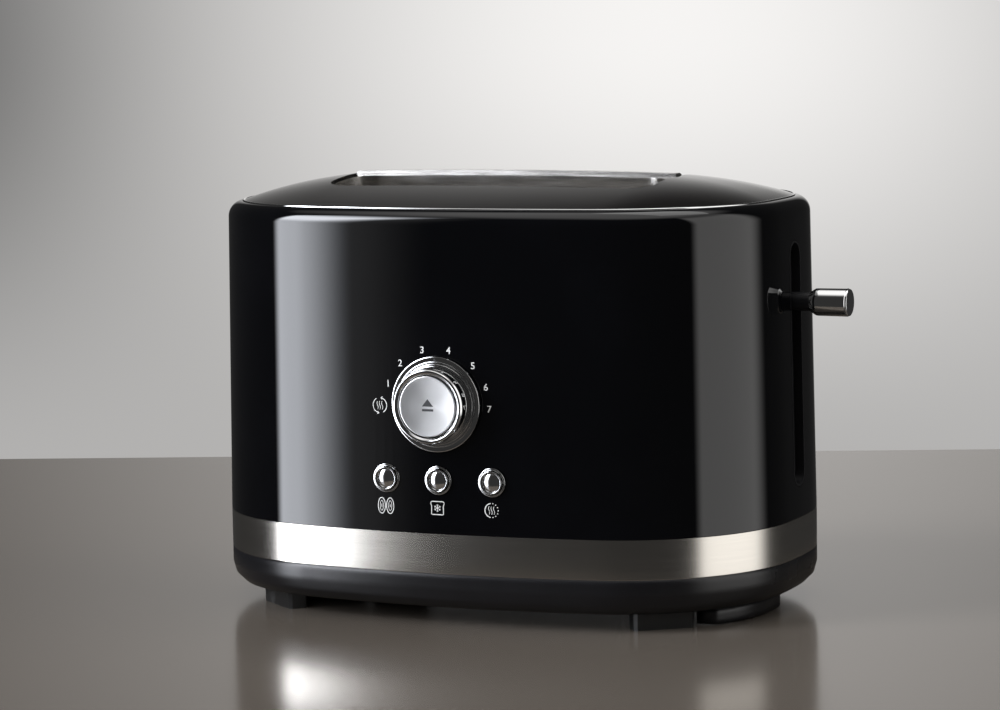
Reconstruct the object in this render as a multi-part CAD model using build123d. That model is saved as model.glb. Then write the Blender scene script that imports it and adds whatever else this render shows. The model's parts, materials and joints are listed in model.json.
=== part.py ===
from build123d import *
import math
import os

# A two slot manual toaster, in millimetres. Every piece is drawn about the middle of the body:
# X runs along the body towards the lever, Y runs from the dial face to the rear, Z is up from the table.
# At export all pieces move together so that the origin lies under the middle of the overall box.

# Body plan, the same four bows and four corner arcs at every height
body_half_length = 136.0
body_half_depth = 92.3
front_bow = 20.15
end_bow = 15.2
corner_share = 0.8256

# Heights of the stacked casing
foot_height = 7.4
base_height = 16.7
band_height = 17.7
shell_height = 142.6
dome_rise = 12.1
dome_levels = (0.0, 0.3, 0.6, 0.88)
dome_fall_along = 4.2
dome_fall_across = 1.4

# Casing walls and edges
shell_wall = 2.0
shell_lean = 1.95
shoulder_radius = 7.1
shoulder_steps = 3
cover_rebate = 1.6
cover_ledge = 4.0
seam_trim = 0.15
base_wall = 2.4
base_edge_radius = 9.5
base_edge_steps = 3
base_cove_height = 9.4
base_cove_depth = 5.0
band_thickness = 1.2
upstand_wall = 1.4
upstand_overlap = 5.0
sheet = 1.0

# Clearances
fit_gap = 0.2
slide_gap = 0.4
rest_gap = 0.3
pin_gap = 0.08

# Bread slots and the polished insert that lines them
slot_end_room = 57.0
slot_side_room = 52.3
slot_corner_radius = 13.0
divider_width = 8.0
divider_round = 2.4
divider_crown_radius = 3200.0
divider_rise = 0.3
divider_end_gap = 0.3
insert_wall = 0.8
insert_depth = 24.0
insert_rim_drop = 1.2

# Toasting chamber
chamber_end_room = 4.5
chamber_head_room = 4.5
crumb_opening_margin = 3.5
crumb_opening_ledge = 4.0
shield_room = 9.0
end_plate_margin = 3.0
foot_flange = 5.0

# Heater cards
card_thickness = 0.8
card_side_room = 6.0
card_bottom = 33.0
card_head_room = 2.0
card_lug_height = 8.0
card_lug_reach = 2.5
card_lug_low = 41.0
card_lug_drop = 24.0
ribbon_end_margin = 9.5
ribbon_head_margin = 6.0
ribbon_width = 2.2
ribbon_thickness = 0.4
ribbon_low = 48.0
ribbon_rows = 8

# Bread guide cages
cage_slot_reach = 1.4
cage_wire_radius = 1.0
cage_rib_radius = 0.8
cage_weld = 0.3
cage_wire_sides = 4
cage_rib_low = 57.0
cage_rail_inset = 3.0
cage_head_room = 1.0
cage_rib_margin = 17.5
cage_rib_count = 7
cage_rail_reach = 3.0
cage_close_travel = 8.0

# Carriage, lever and their travel
rack_top_drop = 50.0
rack_lowest_top = 44.0
carriage_lift = 18.0
rack_depth = 8.0
rack_strip = 1.6
rack_finger_length = 6.0
rack_finger_reach = 5.0
rack_finger_thickness = 1.2
rack_finger_margin = 22.25
rack_finger_count = 8
bracket_end_room = 5.5
bracket_thickness = 1.5
bracket_height = 20.0
bracket_margin = 8.0
rod_radius = 3.0
sleeve_size = 14.0
sleeve_height = 28.0
lever_rise = 21.0
lever_arm_thickness = 2.5
lever_arm_tongue = 6.0
lever_stem_radius = 4.2
lever_knob_radius = 6.3
lever_knob_length = 18.0
lever_knob_chamfer = 0.35
lever_sides = 28
lever_reach = 24.0
lever_stem_length = 11.0

# Lever channel in the end of the shell
channel_width = 13.0
channel_rim = 1.0
channel_depth = 4.0
channel_floor = 1.5
channel_slot_width = 3.6
channel_margin = 4.0

# Mechanism bay
rod_bracket_drop = 8.0
rod_bracket_width = 40.0
rod_bracket_leg = 10.0
spring_radius = 3.2
spring_wire = 0.6
spring_turns = 6
spring_points = 7
spring_sides = 5
spring_offset = 14.0
magnet_offset = 20.0
magnet_height = 17.0
magnet_width = 14.0
magnet_coil_width = 12.0
magnet_core_width = 6.0
keeper_thickness = 2.0
contact_block = 12.0

# Dial, cancel button and push buttons on the front
dial_height = 99.5
dial_skirt_radius = 21.15
dial_skirt_thickness = 2.3
dial_front_radius = 16.6
dial_protrusion = 10.7
dial_bore_radius = 14.0
dial_cup_depth = 7.0
dial_edge_chamfer = 0.6
dial_sides = 44
dial_pointer_width = 0.9
bushing_radius = 5.0
bushing_bore = 5.0
cancel_radius = 13.4
cancel_thickness = 2.2
cancel_stem = 4.0
cancel_travel = 1.5
button_drop = 33.8
button_pitch = 25.4
bezel_radius = 6.4
bezel_width = 0.9
bezel_proud = 0.8
bezel_length = 5.0
button_radius = 5.2
button_rim = 0.7
button_dome_radius = 4.2
button_dome_rise = 1.4
button_sides = 20
button_proud = 2.2
button_stem_width = 4.0
button_travel = 1.2

# Control board behind the front
board_setback = 18.3
board_thickness = 1.6
board_half_length = 42.0
board_margin_below = 13.7
board_margin_above = 14.5
board_strip_width = 8.0
switch_size = 6.0
switch_body = 3.5
switch_plunger_width = 3.0
switch_plunger = 1.5
pot_width = 17.0
pot_depth = 8.0

# Chassis frame, crumb tray and underside
frame_end_room = 30.0
frame_side_room = 17.3
frame_corner = 32.0
frame_foot = 12.0
tray_end_room = 70.0
tray_front_reach = 1.6
tray_wall = 0.8
tray_depth = 7.0
tray_inner_reach = 2.0
tray_front_height = 9.2
tray_grip_depth = 0.6
tray_grip_pitch = 2.4
vent_width = 3.0
vent_length = 26.0
vent_pitch = 8.0
vent_count = 6
foot_length = 28.0
foot_depth = 9.5
foot_chamfer = 1.4
foot_taper = 1.5
foot_angle = 38.2
foot_end_room = 43.6
foot_side_room = 30.9
spigot_length = 9.0
spigot_depth = 4.0
cleat_inset = 10.0
cleat_thickness = 7.0
cleat_side_room = 42.3
cleat_table_gap = 0.6
screw_radius = 1.7
screw_head_radius = 3.6
screw_head_height = 1.8
screw_inset = 7.0
screw_end_room = 5.0
outlet_width = 9.0
outlet_end_room = 44.0

# Heights and places that follow from the sizes above
corner_radius = corner_share * body_half_depth
base_bottom = foot_height
base_top = base_bottom + base_height
band_top = base_top + band_height
seam_z = band_top + shell_height
seam_inset = shell_lean + shoulder_radius - seam_trim
ledge_z = seam_z - cover_rebate
floor_top = base_bottom + base_wall
tray_bottom = floor_top + rest_gap
frame_bottom = base_top - fit_gap
frame_top = frame_bottom + sheet
slot_half_length = body_half_length - slot_end_room
slot_width = body_half_depth - slot_side_room - divider_width / 2
slot_centre = divider_width / 2 + slot_width / 2
opening_half_depth = divider_width / 2 + slot_width + insert_wall
opening_half_length = slot_half_length + insert_wall
insert_low = seam_z + dome_rise - insert_depth
chamber_half_length = slot_half_length + chamber_end_room
chamber_top = insert_low - chamber_head_room
card_offset = slot_centre + slot_width / 2 + card_side_room
card_top = chamber_top - card_head_room
card_lug_high = card_top - card_lug_drop
shield_offset = card_offset + shield_room
end_plate_half_depth = shield_offset + end_plate_margin
crumb_opening_half_length = chamber_half_length - crumb_opening_margin
crumb_opening_half_depth = card_offset + crumb_opening_ledge
ribbon_half_length = chamber_half_length - ribbon_end_margin
ribbon_pitch = (card_top - ribbon_head_margin - ribbon_low) / (ribbon_rows - 1)
cage_offset = slot_width / 2 - cage_slot_reach
cage_rib_high = chamber_top - cage_head_room
cage_rail_heights = (cage_rib_low + cage_rail_inset, cage_rib_high - cage_rail_inset)
cage_rib_pitch = 2 * (chamber_half_length - cage_rib_margin) / (cage_rib_count - 1)
rack_top = chamber_top - rack_top_drop
carriage_drop = rack_top - rack_lowest_top
rack_finger_pitch = 2 * (chamber_half_length - rack_finger_margin) / (rack_finger_count - 1)
lever_height = rack_top + lever_rise
rod_bracket_height = chamber_top - rod_bracket_drop
button_height = dial_height - button_drop
board_low = button_height - board_margin_below
board_high = dial_height + board_margin_above
frame_half_length = body_half_length - frame_end_room
frame_half_depth = body_half_depth - frame_side_room
tray_half_width = body_half_length - tray_end_room
tray_front_half_width = tray_half_width + tray_front_reach
tray_inner_end = crumb_opening_half_depth + tray_inner_reach
foot_x = body_half_length - foot_end_room
foot_y = body_half_depth - foot_side_room
screw_x = frame_half_length - screw_inset
screw_y = frame_half_depth - frame_corner - screw_end_room
outlet_x = body_half_length - outlet_end_room
cleat_length = body_half_depth - cleat_side_room
bracket_x = chamber_half_length + bracket_end_room
bracket_outer = bracket_x + bracket_thickness
rod_x = bracket_outer + sleeve_size / 2
sleeve_outer = bracket_outer + sleeve_size
lever_tip = body_half_length + lever_reach
front_y = -body_half_depth
board_front = front_y + board_setback
board_back = board_front + board_thickness
magnet_top = frame_top + magnet_height
keeper_bottom = magnet_top + carriage_drop + rest_gap


def bow_radius(half_chord, rise):
    return (half_chord**2 + rise**2) / (2 * rise)


def bow_rise(half_chord, radius):
    return radius - math.sqrt(radius**2 - half_chord**2)


front_radius = bow_radius(body_half_length, front_bow)
end_radius = bow_radius(body_half_depth, end_bow)


def lean(z):
    """How far the leaning shell has moved in at a height."""
    return shell_lean * (z - band_top) / shell_height


def as_bezier(arc):
    """The same arc as a Bezier curve, which gives a lofted side faces that mesh lightly."""
    reach = 4 / 3 * math.tan(arc.length / arc.radius / 4) * arc.radius
    start, end = arc @ 0, arc @ 1
    return Bezier(start, start + (arc % 0) * reach, end - (arc % 1) * reach, end)


def rounded_outline(half_length, half_depth, long_radius, short_radius, corner):
    """Four shallow bows and the corner arcs tangent to them."""
    long_centre = Vector(0, long_radius - half_depth)
    short_centre = Vector(half_length - short_radius, 0)
    to_long = long_radius - corner
    to_short = short_radius - corner
    between = short_centre - long_centre
    along = (to_long**2 - to_short**2 + between.length**2) / (2 * between.length)
    across = math.sqrt(to_long**2 - along**2)
    direction = between.normalized()
    corner_centre = long_centre + direction * along + Vector(-direction.Y, direction.X) * across
    start = long_centre + (corner_centre - long_centre).normalized() * long_radius
    end = short_centre + (corner_centre - short_centre).normalized() * short_radius
    outward = (start - corner_centre) + (end - corner_centre)
    middle = corner_centre + outward.normalized() * corner
    sx, sy = start.X, start.Y
    mx, my = middle.X, middle.Y
    ex, ey = end.X, end.Y
    return [
        ThreePointArc((-sx, sy), (0, -half_depth), (sx, sy)),
        ThreePointArc((sx, sy), (mx, my), (ex, ey)),
        ThreePointArc((ex, ey), (half_length, 0), (ex, -ey)),
        ThreePointArc((ex, -ey), (mx, -my), (sx, -sy)),
        ThreePointArc((sx, -sy), (0, half_depth), (-sx, -sy)),
        ThreePointArc((-sx, -sy), (-mx, -my), (-ex, -ey)),
        ThreePointArc((-ex, -ey), (-half_length, 0), (-ex, ey)),
        ThreePointArc((-ex, ey), (-mx, my), (-sx, sy)),
    ]


def body_outline(inset):
    """The body's outline, moved in all round by an inset."""
    return rounded_outline(
        body_half_length - inset,
        body_half_depth - inset,
        front_radius - inset,
        end_radius - inset,
        corner_radius - inset,
    )


def level(outline, z):
    """An outline as a face at height z, with its corners drawn so that lofted sides mesh lightly."""
    bows, corners = outline[0::2], outline[1::2]
    curves = []
    for bow, corner in zip(bows, corners):
        curves += [bow, as_bezier(corner)]
    return Pos(0, 0, z) * Face(Wire(curves))


def body_level(inset, z):
    return level(body_outline(inset), z)


def body_prism(inset, low, high):
    """Upright walled block with the body's outline."""
    return loft([body_level(inset, low), body_level(inset, high)], ruled=True)


def block(x_range, y_range, z_range):
    """A box between two limits on each axis."""
    sizes = [high - low for low, high in (x_range, y_range, z_range)]
    centre = [(high + low) / 2 for low, high in (x_range, y_range, z_range)]
    return Pos(*centre) * Box(*sizes)


def rod(start, end, radius):
    """A round bar from one point to another."""
    axis = Vector(*end) - Vector(*start)
    return Solid.make_cylinder(radius, axis.length, Plane(origin=start, z_dir=axis))


def round_bar(start, end, radius, sides):
    """A bar with so many sides that it looks round, for pieces whose mesh has to stay light."""
    axis = Vector(*end) - Vector(*start)
    face = Plane(origin=start, z_dir=axis) * RegularPolygon(radius, sides)
    return extrude(face, axis.length)


def obround_along_x(width, low, high, x_range):
    """An upright slot shape with round ends, run along X."""
    middle = (low + high) / 2
    face = Plane.YZ * SlotOverall(high - low, width, rotation=90)
    return Pos(x_range[0], 0, middle) * extrude(face, x_range[1] - x_range[0])


# Casing


def shell_block():
    """The leaning body with its rounded shoulder."""
    plans = [body_level(0.0, band_top)]
    for step in range(shoulder_steps + 1):
        turn = math.radians(90 * step / shoulder_steps)
        height = seam_z - shoulder_radius * (1 - math.sin(turn))
        inset = lean(height) + shoulder_radius * (1 - math.cos(turn))
        plans.append(body_level(inset, height))
    return loft(plans, ruled=True)


def shell_cavity():
    """The room inside the shell, up to the ledge that carries the cover."""
    roof = ledge_z - shell_wall
    plans = [body_level(shell_wall, band_top), body_level(shell_wall + lean(roof), roof)]
    return loft(plans, ruled=True)


channel_low = lever_height - carriage_drop - lever_stem_radius - channel_margin
channel_high = lever_height + carriage_lift + lever_stem_radius + channel_margin


def outer_shell():
    """Glossy wrap with a rounded shoulder, open below and above."""
    rebate = body_prism(seam_inset, ledge_z, seam_z + 1)
    mouth = body_prism(seam_inset + cover_ledge, ledge_z - shell_wall, seam_z + 1)
    shell = shell_block() - shell_cavity() - rebate - mouth
    channel_hole = obround_along_x(
        channel_width + 2 * (channel_rim + fit_gap),
        channel_low - channel_rim - fit_gap,
        channel_high + channel_rim + fit_gap,
        (body_half_length / 2, body_half_length + 1),
    )
    shell -= channel_hole
    hole_start = (0, front_y - 1, dial_height)
    hole_end = (0, -body_half_depth / 2, dial_height)
    shell -= round_bar(hole_start, hole_end, bushing_radius + 2 * slide_gap, button_sides)
    for place in (-1, 0, 1):
        inside = button_face(bezel_radius + fit_gap, place * button_pitch, -body_half_depth / 2)
        shell -= extrude(inside, body_half_depth / 2)
    return shell


def dome_block(drop):
    """The cover's edge and dome, lowered by a drop: its plans shrink faster across than along."""
    half_length = body_half_length - seam_inset - fit_gap
    half_depth = body_half_depth - seam_inset - fit_gap
    long_rise = bow_rise(half_length, front_radius - seam_inset)
    short_rise = bow_rise(half_depth, end_radius - seam_inset)
    plans = []
    for share in dome_levels:
        along = (1 - share) ** (1 / dome_fall_along)
        across = (1 - share) ** (1 / dome_fall_across)
        outline = rounded_outline(
            half_length * along,
            half_depth * across,
            bow_radius(half_length * along, long_rise * across),
            bow_radius(half_depth * across, short_rise * along),
            (corner_radius - seam_inset) * across,
        )
        if share == 0:
            plans.append(level(outline, ledge_z - drop))
        plans.append(level(outline, seam_z - drop + dome_rise * share))
    return loft(plans, ruled=True)


def opening_prism(margin, low, high):
    """The rounded opening for both slots, grown by a margin."""
    face = RectangleRounded(
        2 * (opening_half_length + margin),
        2 * (opening_half_depth + margin),
        slot_corner_radius + insert_wall + margin,
    )
    return Pos(0, 0, low) * extrude(face, high - low)


def top_cover():
    """Domed cover that drops into the shell's rebate, open over both slots."""
    return dome_block(0.0) - opening_prism(fit_gap, ledge_z, seam_z + 2 * dome_rise)


def slot_divider():
    """Folded bar between the slots, crowned along its length, with softened upper edges."""
    top = seam_z + dome_rise + divider_rise
    half_length = opening_half_length - divider_end_gap
    half_width = divider_width / 2
    bar = block((-half_length, half_length), (-half_width, half_width), (insert_low, top))
    crown = Rot(90, 0, 0) * Cylinder(divider_crown_radius, 2 * divider_width)
    bar &= Pos(0, 0, top - divider_crown_radius) * crown
    crown_edges = bar.faces().sort_by(Axis.Z)[-1].edges().filter_by(GeomType.CIRCLE)
    bar = chamfer(crown_edges, divider_round / 3, divider_round)
    half_hollow = half_width - insert_wall
    return bar - block(
        (-half_length, half_length), (-half_hollow, half_hollow), (insert_low, top - divider_width)
    )


def slot_insert():
    """Polished frame that lines both slots and follows the dome at its rim."""
    high = seam_z + 2 * dome_rise
    walls = opening_prism(0.0, insert_low, seam_z - insert_rim_drop)
    lining = walls + (opening_prism(0.0, insert_low, high) & dome_block(insert_rim_drop))
    lining -= block(
        (-opening_half_length + divider_end_gap, opening_half_length - divider_end_gap),
        (-divider_width / 2, divider_width / 2),
        (insert_low, high),
    )
    for side in (-1, 1):
        pocket = Pos(0, side * slot_centre, insert_low) * extrude(
            RectangleRounded(2 * slot_half_length, slot_width, slot_corner_radius), high - insert_low
        )
        lining -= pocket
    return lining


def steel_band():
    """Brushed band that wraps the base's upstand."""
    return body_prism(0.0, base_top, band_top) - body_prism(band_thickness, base_top, band_top)


def base_block():
    """The base's outer form, rounded below where it curls under."""
    plans = []
    for step in range(base_edge_steps + 1):
        turn = math.radians(90 * step / base_edge_steps)
        inset = base_edge_radius * (1 - math.sin(turn))
        plans.append(body_level(inset, base_bottom + base_edge_radius * (1 - math.cos(turn))))
    return loft(plans + [body_level(0.0, base_top)], ruled=True)


def base_cavity():
    """The room inside the base, coved at the floor and upright above."""
    inset = shell_wall + fit_gap + upstand_wall
    plans = [
        body_level(inset + base_cove_depth, floor_top),
        body_level(inset, floor_top + base_cove_height),
        body_level(inset, band_top + upstand_overlap),
    ]
    return loft(plans, ruled=True)


def tray_window(half_width, low, high):
    return block((-half_width, half_width), (body_half_depth / 2, body_half_depth + 1), (low, high))


def base_shell():
    """Moulded base with a vented floor, and the lip that locates the band and the shell."""
    lip = body_prism(shell_wall + fit_gap, base_top - base_wall, band_top + upstand_overlap)
    base = base_block() + lip - base_cavity()
    base -= tray_window(
        tray_front_half_width + slide_gap,
        tray_bottom - slide_gap,
        tray_bottom + tray_front_height + slide_gap,
    )
    for side in (-1, 1):
        for index in range(vent_count):
            x = (index - (vent_count - 1) / 2) * vent_pitch
            y = side * vent_length
            base -= block(
                (x - vent_width / 2, x + vent_width / 2),
                (y - vent_length / 2, y + vent_length / 2),
                (base_bottom, floor_top),
            )
    for side_x in (-1, 1):
        for side_y in (-1, 1):
            base -= spigot(side_x, side_y, pin_gap)
            spot = (side_x * screw_x, side_y * screw_y)
            base -= hexagon_bar(spot, base_bottom, floor_top, screw_radius + pin_gap)
    return base - block(
        (-outlet_x - outlet_width / 2, -outlet_x + outlet_width / 2),
        (body_half_depth / 2, body_half_depth),
        (tray_bottom, tray_bottom + outlet_width),
    )


def at_foot(side_x, side_y):
    """Place and turn of one foot, square to its corner of the body."""
    return Pos(side_x * foot_x, side_y * foot_y, base_bottom) * Rot(0, 0, -side_x * side_y * foot_angle)


def spigot(side_x, side_y, gap):
    """Tongue that locks a foot into the base, or with a gap the socket for it."""
    tongue = Box(
        spigot_length + 2 * gap,
        spigot_depth + 2 * gap,
        base_wall,
        align=(Align.CENTER, Align.CENTER, Align.MIN),
    )
    return at_foot(side_x, side_y) * tongue


def base_foot(side_x, side_y):
    """Rubber block that narrows towards the table."""
    face = chamfer(Rectangle(foot_length, foot_depth).vertices(), foot_chamfer)
    pad = Rot(180, 0, 0) * extrude(face, foot_height, taper=foot_taper)
    return at_foot(side_x, side_y) * pad + spigot(side_x, side_y, 0.0)


def hexagon_bar(spot, low, high, radius):
    return Pos(*spot, low) * extrude(RegularPolygon(radius, 6), high - low)


def base_screws():
    """Four hexagon head screws that hold the chassis frame's feet from below the base."""
    screws = []
    for side_x in (-1, 1):
        for side_y in (-1, 1):
            spot = (side_x * screw_x, side_y * screw_y)
            head = hexagon_bar(spot, base_bottom - screw_head_height, base_bottom, screw_head_radius)
            shank = hexagon_bar(spot, base_bottom, floor_top + sheet, screw_radius)
            screws.append(head + shank)
    return Compound(children=screws)


def cord_cleat(side):
    """Low curved wall under one end, round which a lead is wound away."""
    wall = body_prism(cleat_inset, cleat_table_gap, base_bottom)
    wall -= body_prism(cleat_inset + cleat_thickness, cleat_table_gap, base_bottom)
    wall &= block((0, body_half_length), (-cleat_length, 0), (cleat_table_gap, base_bottom))
    return wall if side > 0 else Rot(0, 0, 180) * wall


# Chassis and toasting chamber


def chassis_frame():
    """Sheet steel table over the crumb tray, standing on a folded foot at each end."""
    outline = chamfer(Rectangle(2 * frame_half_length, 2 * frame_half_depth).vertices(), frame_corner)
    frame = Pos(0, 0, frame_bottom) * extrude(outline, sheet)
    frame -= block(
        (-crumb_opening_half_length, crumb_opening_half_length),
        (-crumb_opening_half_depth, crumb_opening_half_depth),
        (frame_bottom, frame_top),
    )
    half_depth = frame_half_depth - frame_corner
    for side in (-1, 1):
        outer = side * frame_half_length
        leg = sorted((outer, outer - side * sheet))
        foot = sorted((outer, outer - side * frame_foot))
        frame += block(leg, (-half_depth, half_depth), (floor_top, frame_bottom))
        frame += block(foot, (-half_depth, half_depth), (floor_top, floor_top + sheet))
        for side_y in (-1, 1):
            spot = (side * screw_x, side_y * screw_y)
            frame -= hexagon_bar(spot, floor_top, floor_top + sheet, screw_radius + pin_gap)
    return frame


cage_lift_travel = cage_close_travel * carriage_lift / carriage_drop


def cage_window(centre, closing):
    """Limits across the body that a cage rail sweeps at an end plate."""
    ends = sorted((centre + closing * cage_close_travel, centre - closing * cage_lift_travel))
    room = cage_wire_radius + rest_gap
    return ends[0] - room, ends[1] + room


def cage_places():
    """Each cage's rest position and the way it moves to grip a slice."""
    places = {}
    for slot_name, side in (("front", -1), ("rear", 1)):
        for wall_name, reach in (("outer", 1), ("inner", -1)):
            centre = side * (slot_centre + reach * cage_offset)
            places[f"{slot_name}_{wall_name}"] = (centre, -side * reach)
    return places


def end_plate(side):
    """Slotted steel end of the chamber, which carries the cards, the cage rails and the racks."""
    inner = chamber_half_length
    outer = chamber_half_length + sheet
    plate = block((inner, outer), (-end_plate_half_depth, end_plate_half_depth), (frame_top, chamber_top))
    plate += block(
        (inner, outer + foot_flange),
        (-end_plate_half_depth, end_plate_half_depth),
        (frame_top, frame_top + sheet),
    )
    through = (inner - 1, outer + 1)
    for y in (-slot_centre, slot_centre):
        half = rack_strip / 2 + rest_gap
        low = rack_top - rack_depth - carriage_drop - rest_gap
        high = rack_top + carriage_lift + rest_gap
        plate -= block(through, (y - half, y + half), (low, high))
    for centre, closing in cage_places().values():
        for z in (cage_rail_heights[0], cage_rail_heights[-1]):
            room = cage_wire_radius + rest_gap
            plate -= block(through, cage_window(centre, closing), (z - room, z + room))
    for y in (-card_offset, 0.0, card_offset):
        half = card_thickness / 2 + fit_gap
        for z in (card_lug_low, card_lug_high):
            plate -= block(through, (y - half, y + half), (z - fit_gap, z + card_lug_height + fit_gap))
    return plate if side > 0 else mirror(plate, Plane.YZ)


def heat_shield(side):
    """Reflector sheet behind an outer card, folded in at its top and bottom."""
    y = side * shield_offset
    fold = side * foot_flange
    face = sorted((y, y + side * sheet))
    sheet_body = block((-chamber_half_length, chamber_half_length), face, (frame_top, chamber_top))
    for z in (frame_top, chamber_top - sheet):
        span = sorted((y, y + fold))
        sheet_body += block((-chamber_half_length, chamber_half_length), span, (z, z + sheet))
    return sheet_body


def heater_card(y):
    """Mica sheet with lugs that sit in the end plates and notches that hold the ribbon."""
    half = card_thickness / 2
    half_length = chamber_half_length - fit_gap
    card = block((-half_length, half_length), (y - half, y + half), (card_bottom, card_top))
    for side in (-1, 1):
        for z in (card_lug_low, card_lug_high):
            lug_end = side * (chamber_half_length + sheet + card_lug_reach)
            span = sorted((side * half_length, lug_end))
            card += block(span, (y - half, y + half), (z, z + card_lug_height))
    return card


def heater_ribbon(y, facing):
    """One flat ribbon that runs to and fro across its card."""
    rows = []
    for index in range(ribbon_rows):
        z = ribbon_low + index * ribbon_pitch
        rows.append(Pos(0, z) * Rectangle(2 * ribbon_half_length, ribbon_width))
        if index < ribbon_rows - 1:
            side = 1 if index % 2 else -1
            turn_x = side * (ribbon_half_length - ribbon_width / 2)
            turn_height = ribbon_pitch + ribbon_width
            rows.append(Pos(turn_x, z + ribbon_pitch / 2) * Rectangle(ribbon_width, turn_height))
    path = rows[0]
    for piece in rows[1:]:
        path += piece
    surface = y + facing * card_thickness / 2
    strip = extrude(Plane.XZ * path, -facing * ribbon_thickness)
    return Pos(0, surface, 0) * strip


def wire(start, end, radius):
    """A straight drawn wire, with few sides to keep its mesh light."""
    axis = Vector(*end) - Vector(*start)
    side = Vector(0, 0, 1) if abs(axis.Z) < abs(axis.X) else Vector(1, 0, 0)
    face = Plane(origin=start, x_dir=side, z_dir=axis) * RegularPolygon(radius, cage_wire_sides)
    return extrude(face, axis.length)


def guide_cage(centre, outward):
    """Welded wire wall that leans a slice upright: long rails and, behind them, upright ribs."""
    long_half = chamber_half_length + sheet + cage_rail_reach
    short_half = chamber_half_length - cage_rail_reach
    halves = [long_half] + [short_half] * (len(cage_rail_heights) - 2) + [long_half]
    rib_y = centre + outward * (cage_wire_radius + cage_rib_radius - cage_weld)
    cage = None
    for index in range(cage_rib_count):
        x = (index - (cage_rib_count - 1) / 2) * cage_rib_pitch
        rib = wire((x, rib_y, cage_rib_low), (x, rib_y, cage_rib_high), cage_rib_radius)
        cage = rib if cage is None else cage + rib
    for z, half in zip(cage_rail_heights, halves):
        cage += wire((-half, centre, z), (half, centre, z), cage_wire_radius)
    return cage


# Carriage and lever


def bread_rack(y):
    """Upright strip with flat fingers that carry a slice, joined to the carriage at the lever end."""
    left = -(chamber_half_length + sheet + cage_rail_reach)
    half = rack_strip / 2
    rack = block((left, bracket_x), (y - half, y + half), (rack_top - rack_depth, rack_top))
    for index in range(rack_finger_count):
        x = (index - (rack_finger_count - 1) / 2) * rack_finger_pitch
        rack += block(
            (x - rack_finger_length / 2, x + rack_finger_length / 2),
            (y - rack_finger_reach, y + rack_finger_reach),
            (rack_top - rack_finger_thickness, rack_top),
        )
    return rack


def carriage_bracket():
    """Plate that joins both racks, with the sleeve that runs on the rod and a tab for the keeper."""
    low = rack_top - rack_depth - (bracket_height - rack_depth) / 2
    half_depth = slot_centre + bracket_margin
    plate = block((bracket_x, bracket_outer), (-half_depth, half_depth), (low, low + bracket_height))
    sleeve_low = low + bracket_height / 2 - sleeve_height / 2
    half = sleeve_size / 2
    plate += block((bracket_outer, sleeve_outer), (-half, half), (sleeve_low, sleeve_low + sleeve_height))
    tab_low = keeper_bottom + keeper_thickness
    tab_half = magnet_width / 2
    plate += block(
        (bracket_outer, sleeve_outer),
        (magnet_offset - tab_half, magnet_offset + tab_half),
        (tab_low, tab_low + bracket_thickness),
    )
    spring_tab = spring_radius + spring_wire
    plate += block(
        (bracket_outer, rod_x + spring_tab),
        (-spring_offset - spring_tab, -half),
        (low + bracket_height - bracket_thickness, low + bracket_height),
    )
    bore = rod((rod_x, 0, sleeve_low - 1), (rod_x, 0, sleeve_low + sleeve_height + 1), rod_radius + pin_gap)
    return plate - bore


def keeper_plate():
    """Soft iron plate that the magnet holds when the carriage is down."""
    half = magnet_width / 2
    return block(
        (bracket_outer, sleeve_outer),
        (magnet_offset - half, magnet_offset + half),
        (keeper_bottom, keeper_bottom + keeper_thickness),
    )


def lever_arm():
    """Flat arm that rises from the sleeve and passes out through the channel's slot."""
    sleeve_middle = rack_top - rack_depth / 2
    root_half = sleeve_height / 2 - 2
    tongue_half = lever_arm_tongue / 2
    neck_x = body_half_length - lever_reach
    profile = [
        (sleeve_outer, sleeve_middle - root_half),
        (sleeve_outer, sleeve_middle + root_half),
        (neck_x, lever_height + tongue_half),
        (lever_stem_start() + lever_stem_length, lever_height + tongue_half),
        (lever_stem_start() + lever_stem_length, lever_height - tongue_half),
        (neck_x + tongue_half, lever_height - tongue_half),
    ]
    face = Face(Wire(Polyline(*[(x, 0, z) for x, z in profile], close=True).edges()))
    return extrude(face, lever_arm_thickness / 2, dir=(0, 1, 0), both=True)


def lever_stem_start():
    return body_half_length - channel_depth + rest_gap


def lever_stem():
    """Dark round stem over the arm's tongue, between the channel and the knob."""
    start = lever_stem_start()
    end = lever_tip - lever_knob_length
    stem = round_bar((start, 0, lever_height), (end, 0, lever_height), lever_stem_radius, lever_sides)
    return stem - tongue_socket()


def tongue_socket():
    """Room for the arm's tongue in the stem and the knob."""
    half_tongue = lever_arm_tongue / 2
    half_arm = lever_arm_thickness / 2
    return block(
        (lever_stem_start(), lever_stem_start() + lever_stem_length),
        (-half_arm, half_arm),
        (lever_height - half_tongue, lever_height + half_tongue),
    )


def lever_knob():
    """Chromed cylinder with softened ends that seats on the stem."""
    start = lever_tip - lever_knob_length
    knob = round_bar((start, 0, lever_height), (lever_tip, 0, lever_height), lever_knob_radius, lever_sides)
    ends = knob.faces().sort_by(Axis.X)
    return chamfer(ends[0].edges() + ends[-1].edges(), lever_knob_chamfer) - tongue_socket()


def leaning_slab(depth):
    """All that lies deeper than a given depth below the shell's leaning end."""
    middle = (channel_low + channel_high) / 2
    slope = math.degrees(math.atan(shell_lean / shell_height))
    slab = Box(body_half_length, body_half_length, 2 * seam_z, align=(Align.MAX, Align.CENTER, Align.CENTER))
    return Pos(body_half_length - lean(middle) - depth, 0, middle) * Rot(0, -slope, 0) * slab


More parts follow.
